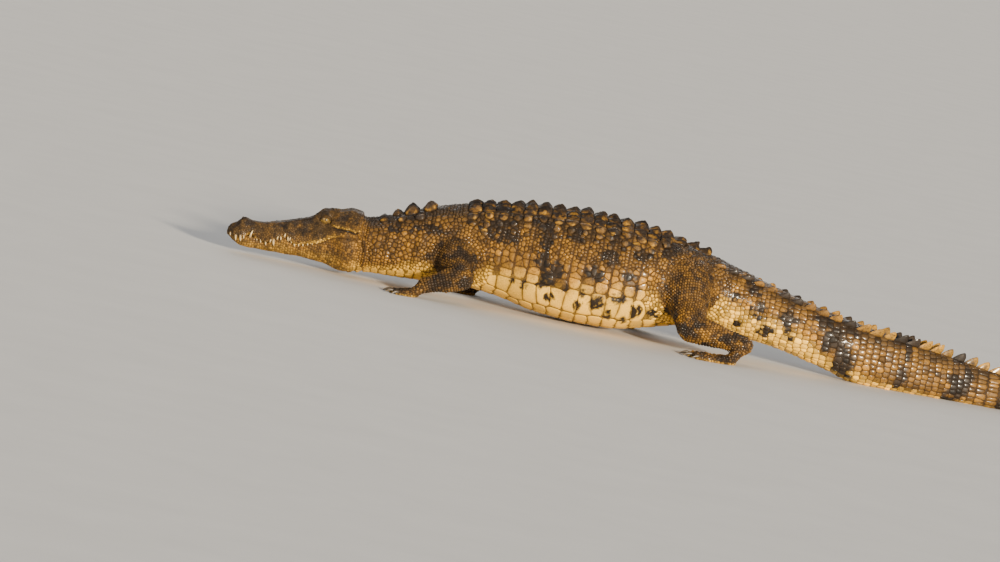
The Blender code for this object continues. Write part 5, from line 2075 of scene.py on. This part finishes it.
# ---- Tail crest ----
@dataclass
class Crest:
    """Upright blades on the tail: a double row, then a single one."""

    coat: Coat
    long_steps: int = 15
    high_steps: int = 7
    peak: float = 0.66  # of the length, where the blade is highest

    def blade(self, s: float, side: float, height: float, length: float, thick: float, outward: float) -> Array:
        """One blade: a long slope in front, the peak well back, leaning rearward.

        Args:
            s: its place on the tail.
            side: its distance from the midplane, negative on the left.
            height: of the peak.
            length: along the tail.
            thick: half thickness at the foot.
            outward: lean to the side, as a share of the height.

        Returns:
            The points of its left and its right face.
        """
        form, up = self.coat.form, np.linspace(0, 1, self.high_steps)
        level = float(form.look_up(form.level, s, form.q_of_side(s, abs(side))))
        a, b = np.meshgrid(np.linspace(0, 1, self.long_steps), up, indexing="ij")
        front = np.sin(share(a / self.peak) * math.pi / 2) ** 0.85
        rear = share((1 - a) / (1 - self.peak)) ** 0.5
        high = height * share(np.where(a < self.peak, front, rear), 0.03) * b
        back = length * (a - 0.52) + high * 0.55
        half = thick * (1 - b**1.7 * 0.8) * share(np.sin(math.pi * share(a, 0.02, 0.98)) ** 0.6, 0.15)
        return np.stack([form.spine.place(np.full(a.shape, s), side + outward * high + sign * half,
                                          level - 0.006 + high, back) for sign in (-1, 1)])

    def build(self) -> None:
        """All the blades as one mesh, one to each whorl."""
        form, random = self.coat.form, np.random.default_rng(11)
        blades, where = [], []
        for s in form.whorls(0.02):
            side, low = form.crest_side(s), float(np.interp(s, [1.85, 2.5], [0.5, 0.8]))
            for sign in (-1, 1) if side else (1,):
                height = (float(form.keel(s)) * low + 0.006) * random.uniform(0.9, 1.08)
                thick = float(np.interp(s, [1.8, 2.4, 3.2, 3.6], [0.0085, 0.006, 0.0042, 0.0016]))
                length = ROW * random.uniform(1.08, 1.22) * float(np.interp(s, [3.2, 3.6], [1, 0.7]))
                blades.append(self.blade(s, sign * side, height, length, thick, sign * 0.3 if side else 0.0))
                where.append(s)
        rows, cols = self.long_steps, self.high_steps
        face, points = rows * cols, np.array(blades).reshape(-1, 3)
        grid = np.arange(face).reshape(rows, cols)
        cell = np.stack([grid[:-1, :-1], grid[1:, :-1], grid[1:, 1:], grid[:-1, 1:]], -1).reshape(-1, 4)
        border = np.concatenate([grid[:, 0], grid[-1, 1:], grid[-2::-1, -1], grid[0, -2:0:-1]])
        after = np.roll(border, -1)
        quads = np.concatenate([cell, cell[:, ::-1] + face, np.stack([after, border, border + face, after + face], -1)])
        quads = (quads[None] + (np.arange(len(blades)) * 2 * face)[:, None, None]).reshape(-1, 4)
        at = np.repeat(np.array(where), 2 * face)
        high = np.tile(np.linspace(0, 1, cols), rows * 2 * len(blades))
        run = np.tile(np.repeat(np.linspace(0, 1, rows), cols), 2 * len(blades))
        dark = 0.45 * ease(0.35, 0.0, run) + 0.25 + 0.5 * grain(points, 0.009, 41)
        for centre in self.coat.skin.marks.crest_bands:
            dark = np.maximum(dark, share(1.5 - ((at - centre) / 0.045) ** 2, 0, 0.9))
        # The rim darkens the foot of each blade, painted shade where it meets the tail, and its front and rear edges.
        rim = (1 - high) ** 2.5 * 0.9 + 0.7 * ease(0.9, 1.0, run) + 0.5 * ease(0.08, 0, run)
        values = {"dark": share(dark), "pale": 0.16 * ease(2.2, 2.6, at), "olive": 0 * at + 0.1,
                  "tone": np.repeat(random.uniform(-0.6, 0.8, len(blades)), 2 * face), "rim": share(rim)}
        patch = np.stack([at / UV_METRES + UV_EDGE + (high - 0.5) * 0.0028, UV_BODY + (run - 0.5) * 0.0028], 1)
        made = new_mesh("tail_blades", points, quads, np.zeros((0, 3), int), values, patch)
        hand_over(made, self.coat.paint.material("tail_blades", 0.0008))


# ---- Eyes, teeth, claws ----
@dataclass
class Eye:
    """One eyeball with its lids."""

    sign: int
    centre: Array
    radius: float
    run: float = 0.357  # place of the eyes along the spine
    margin: tuple = (0.0178, 0.0058, 0.0054)  # half length of the opening, its height above and below
    outer: tuple = (0.0345, 0.019, 0.0185)  # the same of the lids' outer edge
    around: int = 72
    rings: int = 9

    def __post_init__(self) -> None:
        """Names the solid that it replaces, and finds its backward, upward and outward directions."""
        self.name = "eye_left" if self.sign < 0 else "eye_right"
        self.out = unit(np.array([-0.1, self.sign * 1.0, 0.16]))
        self.back = unit(np.array([1.0, 0, 0]) - self.out[0] * self.out)
        self.up = unit(np.cross(self.back, self.out) * self.sign)
        self.clear = self.radius + 0.0012  # the lids stay this far from the middle

    def ball(self) -> None:
        """The eyeball, slightly bulged at the cornea."""
        bpy.ops.object.select_all(action="DESELECT")
        bpy.ops.mesh.primitive_uv_sphere_add(segments=40, ring_count=28, radius=self.radius, location=self.centre)
        made = bpy.context.active_object
        made.name = f"{self.name}_ball"
        bpy.ops.object.transform_apply(location=True, rotation=True, scale=True)
        points = points_of(made) - self.centre
        facing = share((unit(points) @ self.out - 0.8) / 0.2)
        move_to(made, points * (1 + 0.035 * ease(0, 1, facing)[:, None]) + self.centre)
        bpy.ops.object.shade_smooth()
        hand_over(made, EyeFinish().material(self.name, self.centre, self.radius), [self.name])

    def lids(self, surface: BVHTree, paint: HidePaint) -> None:
        """Upper and lower lid as one ring from the margin out to the skin.

        Args:
            surface: the skin, to search for its nearest points.
            paint: colours of the hide.
        """
        around, rings = self.around, self.rings
        angle = np.linspace(0, 2 * math.pi, around, endpoint=False)
        c, s = np.cos(angle), np.sin(angle)
        (half, above, below), (wide, top, bottom) = self.margin, self.outer
        margin = np.stack([half * c, np.where(s > 0, above, below) * np.sign(s) * np.abs(s) ** 0.85], 1)
        outer = np.stack([wide * c, np.where(s > 0, top, bottom) * s], 1)
        rows = []
        for t in (k / (rings - 1) for k in range(rings)):
            flat = margin * (1 - t) + outer * t
            place = self.centre + flat[:, :1] * self.back + flat[:, 1:] * self.up
            near = place + self.out * np.sqrt(np.maximum(self.clear**2 - (flat**2).sum(1), 1e-8))[:, None]
            hit = np.array([surface.find_nearest(p)[0] for p in place + self.out * (self.radius * 0.75)])
            part = ease(0.0, 1.0, np.array(t))
            body = near * (1 - part) + (hit - self.out * 0.0012) * part
            roll = 0.0024 * math.sin(math.pi * min(1, t * 1.5 + 0.12)) + 0.0012 * math.sin(t * 19.0) * (1 - t)
            rough = 0.0007 * grain(body, 0.0045, 42) * min(1.0, t * 3)
            off = body + self.out * (roll + rough[:, None]) - self.centre
            far = np.linalg.norm(off, axis=1, keepdims=True)
            rows.append(self.centre + off / far * np.maximum(far, self.clear))
        inner = rows[0] - self.out * 0.0035 + (rows[1] - rows[0]) * 0.2
        deep = rows[-1] - self.out * 0.006 + (rows[-2] - rows[-1]) * 0.6
        stack = np.stack([*rows, deep, inner])
        count, points = len(stack), stack.reshape(-1, 3)
        i, j = np.meshgrid(np.arange(count), np.arange(around), indexing="ij")
        i2, j2 = (i + 1) % count, (j + 1) % around
        quads = np.stack([i * around + j, i * around + j2, i2 * around + j2, i2 * around + j], -1).reshape(-1, 4)
        part = np.repeat(np.array([*np.linspace(0, 1, rings), 1, 0]), around)
        low = np.tile(share(-s), count)
        # The two tucked-in rings, inside the margin and under the skin, take a full rim: painted shade in the folds.
        values = {"dark": 0.36 + 0.45 * hump(part, 0.1) * (1 - low) + 0.2 * grain(points, 0.006, 40),
                  "pale": share(0.5 * low * hump(part - 0.1, 0.1) + 0.1 * low),
                  "olive": 0 * low + 0.85, "tone": 0 * low,
                  "rim": np.repeat(np.array([0.4, *[0.0] * (rings - 1), 1, 1]), around)}
        patch = np.stack([UV_EDGE + self.run / UV_METRES + part * 0.004 * np.tile(c, count),
                          UV_BODY + self.sign * 0.05 + part * 0.004 * np.tile(s, count)], 1)
        made = new_mesh(f"{self.name}_lids", points, quads, np.zeros((0, 3), int), values, patch)
        face_out(made)
        hand_over(made, paint.material(f"{self.name}_lids", 0.0008, 0.8, 330.0))


@dataclass
class Teeth:
    """Curved ivory cones along both lips."""

    form: BodyForm
    sides: int = 12
    steps: int = 7

    def cone(self, s: float, length: float, radius: float, sign: int, upper: bool) -> tuple:
        """Points and faces of one tooth.

        Args:
            s: place of the tooth.
            length: of its crown.
            radius: at its root.
            sign: -1 on the left, 1 on the right.
            upper: whether it hangs from the upper lip.

        Returns:
            Points, quads and triangles.
        """
        form, out = self.form, 1 if upper else -1
        edge, lip, jaw = (float(f(s)) for f in (form.upper_lip if upper else form.lower_lip, form.lip, form.jaw))
        if upper:
            side = max(lip - 0.0032, jaw + radius + 0.0006)
        else:
            side = jaw - 0.001 if s < 0.1 else lip + 0.001
        t = np.linspace(0, 1, self.steps)
        level = edge + out * 0.005 - out * (length + 0.005) * t
        lean = sign * (side + 0.0022 * np.sin(math.pi * t) - 0.0014 * t)
        thick = radius * np.sqrt(share(1 - t**1.7)) * (1 + 0.1 * (t < 0.2))
        turn = np.linspace(0, 2 * math.pi, self.sides, endpoint=False)
        centre = form.spine.place(np.full(self.steps, s), lean, level, 0.22 * length * t**2)
        ring = np.stack([np.cos(turn), np.sin(turn) * 0.86, np.zeros(self.sides)], 1)
        return loft((centre[:, None] + thick[:, None, None] * ring)[:-1], centre[[0, -1]])

    def build(self) -> None:
        """Every tooth of both jaws as one mesh."""
        places = [(row, True) for row in UPPER_TEETH] + [(row, False) for row in LOWER_TEETH]
        cones = [self.cone(*row, sign, upper) for row, upper in places for sign in (-1, 1)]
        along = np.append(np.repeat(np.linspace(0, 1, self.steps)[:-1], self.sides), [0.0, 1.0])
        made = new_mesh("teeth", *join(cones), {"along": np.tile(along, len(cones))})
        face_out(made)
        hand_over(made, ToothFinish().material())


@dataclass
class Claws:
    """Blunt curved claws on the first three toes of a foot."""

    limb: Limb
    sides: int = 12
    steps: int = 8

    def claw(self, root: Array, tip: Array, radius: float) -> tuple:
        """Points and faces of one claw.

        Args:
            root: root of the toe.
            tip: tip of the toe.
            radius: half thickness of the toe.

        Returns:
            Points, quads and triangles.
        """
        length = 0.03 if self.limb.pair is Pair.BACK else 0.024
        ahead, up = unit(tip - root), np.array([0, 0, 1.0])
        across = np.array([-ahead[1], ahead[0], 0.0])
        t = np.linspace(0, 1, self.steps)
        rise = radius * 0.62 * (1 - t**2.0) + 0.0018 + 0.002 * np.sin(math.pi * t)
        centre = tip - ahead * 0.009 + ahead * ((length + 0.008) * t)[:, None] + up * rise[:, None]
        thick = 0.006 * share(1 - t**2.2) ** 0.7 + 0.0004
        turn = np.linspace(0, 2 * math.pi, self.sides, endpoint=False)[:, None]
        ring = np.cos(turn) * across * 0.72 + np.sin(turn) * up
        return loft(centre[:, None] + thick[:, None, None] * ring, centre[[0, -1]])

    def build(self, finish: bpy.types.Material) -> None:
        """The claws of one foot as one mesh."""
        points, *faces = join([self.claw(*line) for line in self.limb.toe_lines[:CLAWED]])
        points[:, 2] = np.maximum(points[:, 2], 0.0004)
        along = np.append(np.repeat(np.linspace(0, 1, self.steps), self.sides), [0.0, 1.0])
        made = new_mesh(f"{self.limb.name}_claws", points, *faces, {"along": np.tile(along, CLAWED)})
        face_out(made)
        hand_over(made, finish, [f"{self.limb.name}_claw_{k + 1}" for k in range(CLAWED)])


# ---- Studio ----
@dataclass
class Studio:
    """Pale floor, soft light and a long lens at the height of the animal."""

    origin: Array
    roll: float = math.radians(12.0)
    rise: float = math.radians(5.0)
    distance: float = 25.0
    view_width: float = 3.8
    aim: tuple = (1.051, 0.0, 0.1)

    def floor(self) -> None:
        """A wide level floor with a faint grain."""
        bpy.ops.object.select_all(action="DESELECT")
        bpy.ops.mesh.primitive_plane_add(size=400, location=(0, 0, 0))
        plane = bpy.context.active_object
        plane.name = "floor"
        n = Finish("floor")
        cloud = n.spread(n.noise(n.where, 3.0, 4.0), 0.3, 0.7)
        colour = n.mix(cloud, (0.66, 0.65, 0.63, 1), (0.7, 0.69, 0.67, 1))
        plane.data.materials.append(n.end({"Base Color": colour, "Roughness": 0.75}))
        plane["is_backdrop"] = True

    def light(self, name: str, toward: tuple, soft: float, power: float, colour: tuple) -> None:
        """A far soft light that shines from a direction.

        Args:
            name: its name.
            toward: direction from which it shines.
            soft: its apparent size in degrees.
            power: its strength.
            colour: its colour.
        """
        lamp = bpy.data.lights.new(name, "SUN")
        lamp.angle, lamp.energy, lamp.color = math.radians(soft), power, colour
        link_new(name, lamp).rotation_euler = (-Vector(toward)).to_track_quat("-Z", "Y").to_euler()

    def camera(self) -> None:
        """Long lens from the left side, low, rolled with the slope of the bank."""
        lens = bpy.data.cameras.new("camera")
        lens.sensor_width, lens.lens, lens.clip_end = 36.0, 36.0 * self.distance / self.view_width, 1000.0
        made = link_new("camera", lens)
        right = Vector((math.cos(self.roll), 0, math.sin(self.roll)))
        up = Vector((-math.sin(self.roll), 0, math.cos(self.roll)))
        back = Vector((0, -1, 0)) * math.cos(self.rise) + up * math.sin(self.rise)
        turn = Matrix((right, back.cross(right), back)).transposed().to_4x4()
        turn.translation = Vector(self.origin) + Vector(self.aim) + back * self.distance
        made.matrix_world = turn
        bpy.context.scene.camera = made

    def build(self) -> None:
        """Floor, lights, sky and camera."""
        self.floor()
        self.light("key", (0.42, -0.89, 0.19), 6, 7.8, (1.0, 0.87, 0.67))
        self.light("side", (-0.75, -0.45, 0.5), 50, 0.6, (1.0, 0.93, 0.82))
        self.light("back", (-0.1, 0.85, 0.5), 50, 0.8, (1.0, 0.93, 0.84))
        sky = bpy.data.worlds.new("studio")
        sky.use_nodes = True
        Nodes(sky.node_tree).fill(sky.node_tree.nodes["Background"], {0: (0.8, 0.86, 0.94, 1), 1: 0.36})
        bpy.context.scene.world = sky
        self.camera()


# ---- Putting it together ----
def box_lists() -> list:
    """The whole model's box as plain lists."""
    return [[float(x) for x in corner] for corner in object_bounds()]


def main() -> list:
    """Builds every piece over the frame.

    Returns:
        The solids' box, measured before anything is added.
    """
    logging.basicConfig(level=logging.INFO, format="%(message)s")
    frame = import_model()
    solids_box = box_lists()
    low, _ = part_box("head_upper")
    eyes = {}
    for sign, name in ((-1, "eye_left"), (1, "eye_right")):
        a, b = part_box(name)
        eyes[sign] = (np.array((a + b) / 2), (b - a).y / 2)
    origin = np.array(Vector((low.x, (eyes[-1][0][1] + eyes[1][0][1]) / 2, 0.0)))
    form, limbs, paint = BodyForm(Spine(origin)), stance(origin), HidePaint()
    flesh = [name for name in frame["nodes"] if not name.startswith("eye") and "claw" not in name]
    skin = Skin(form, limbs, Markings(), eyes)
    skin.build()
    hand_over(skin.piece, paint.material("hide", 0.0009, 0.9), flesh)
    coat = Coat(skin, paint)
    coat.build()
    Crest(coat).build()
    for sign, (centre, radius) in eyes.items():
        eye = Eye(sign, centre, radius)
        eye.ball()
        eye.lids(coat.surface, paint)
    Teeth(form).build()
    horn = HornFinish().material()
    for limb in limbs:
        Claws(limb).build(horn)
    Studio(origin).build()
    return solids_box


if __name__ == "__main__":
    before = main()
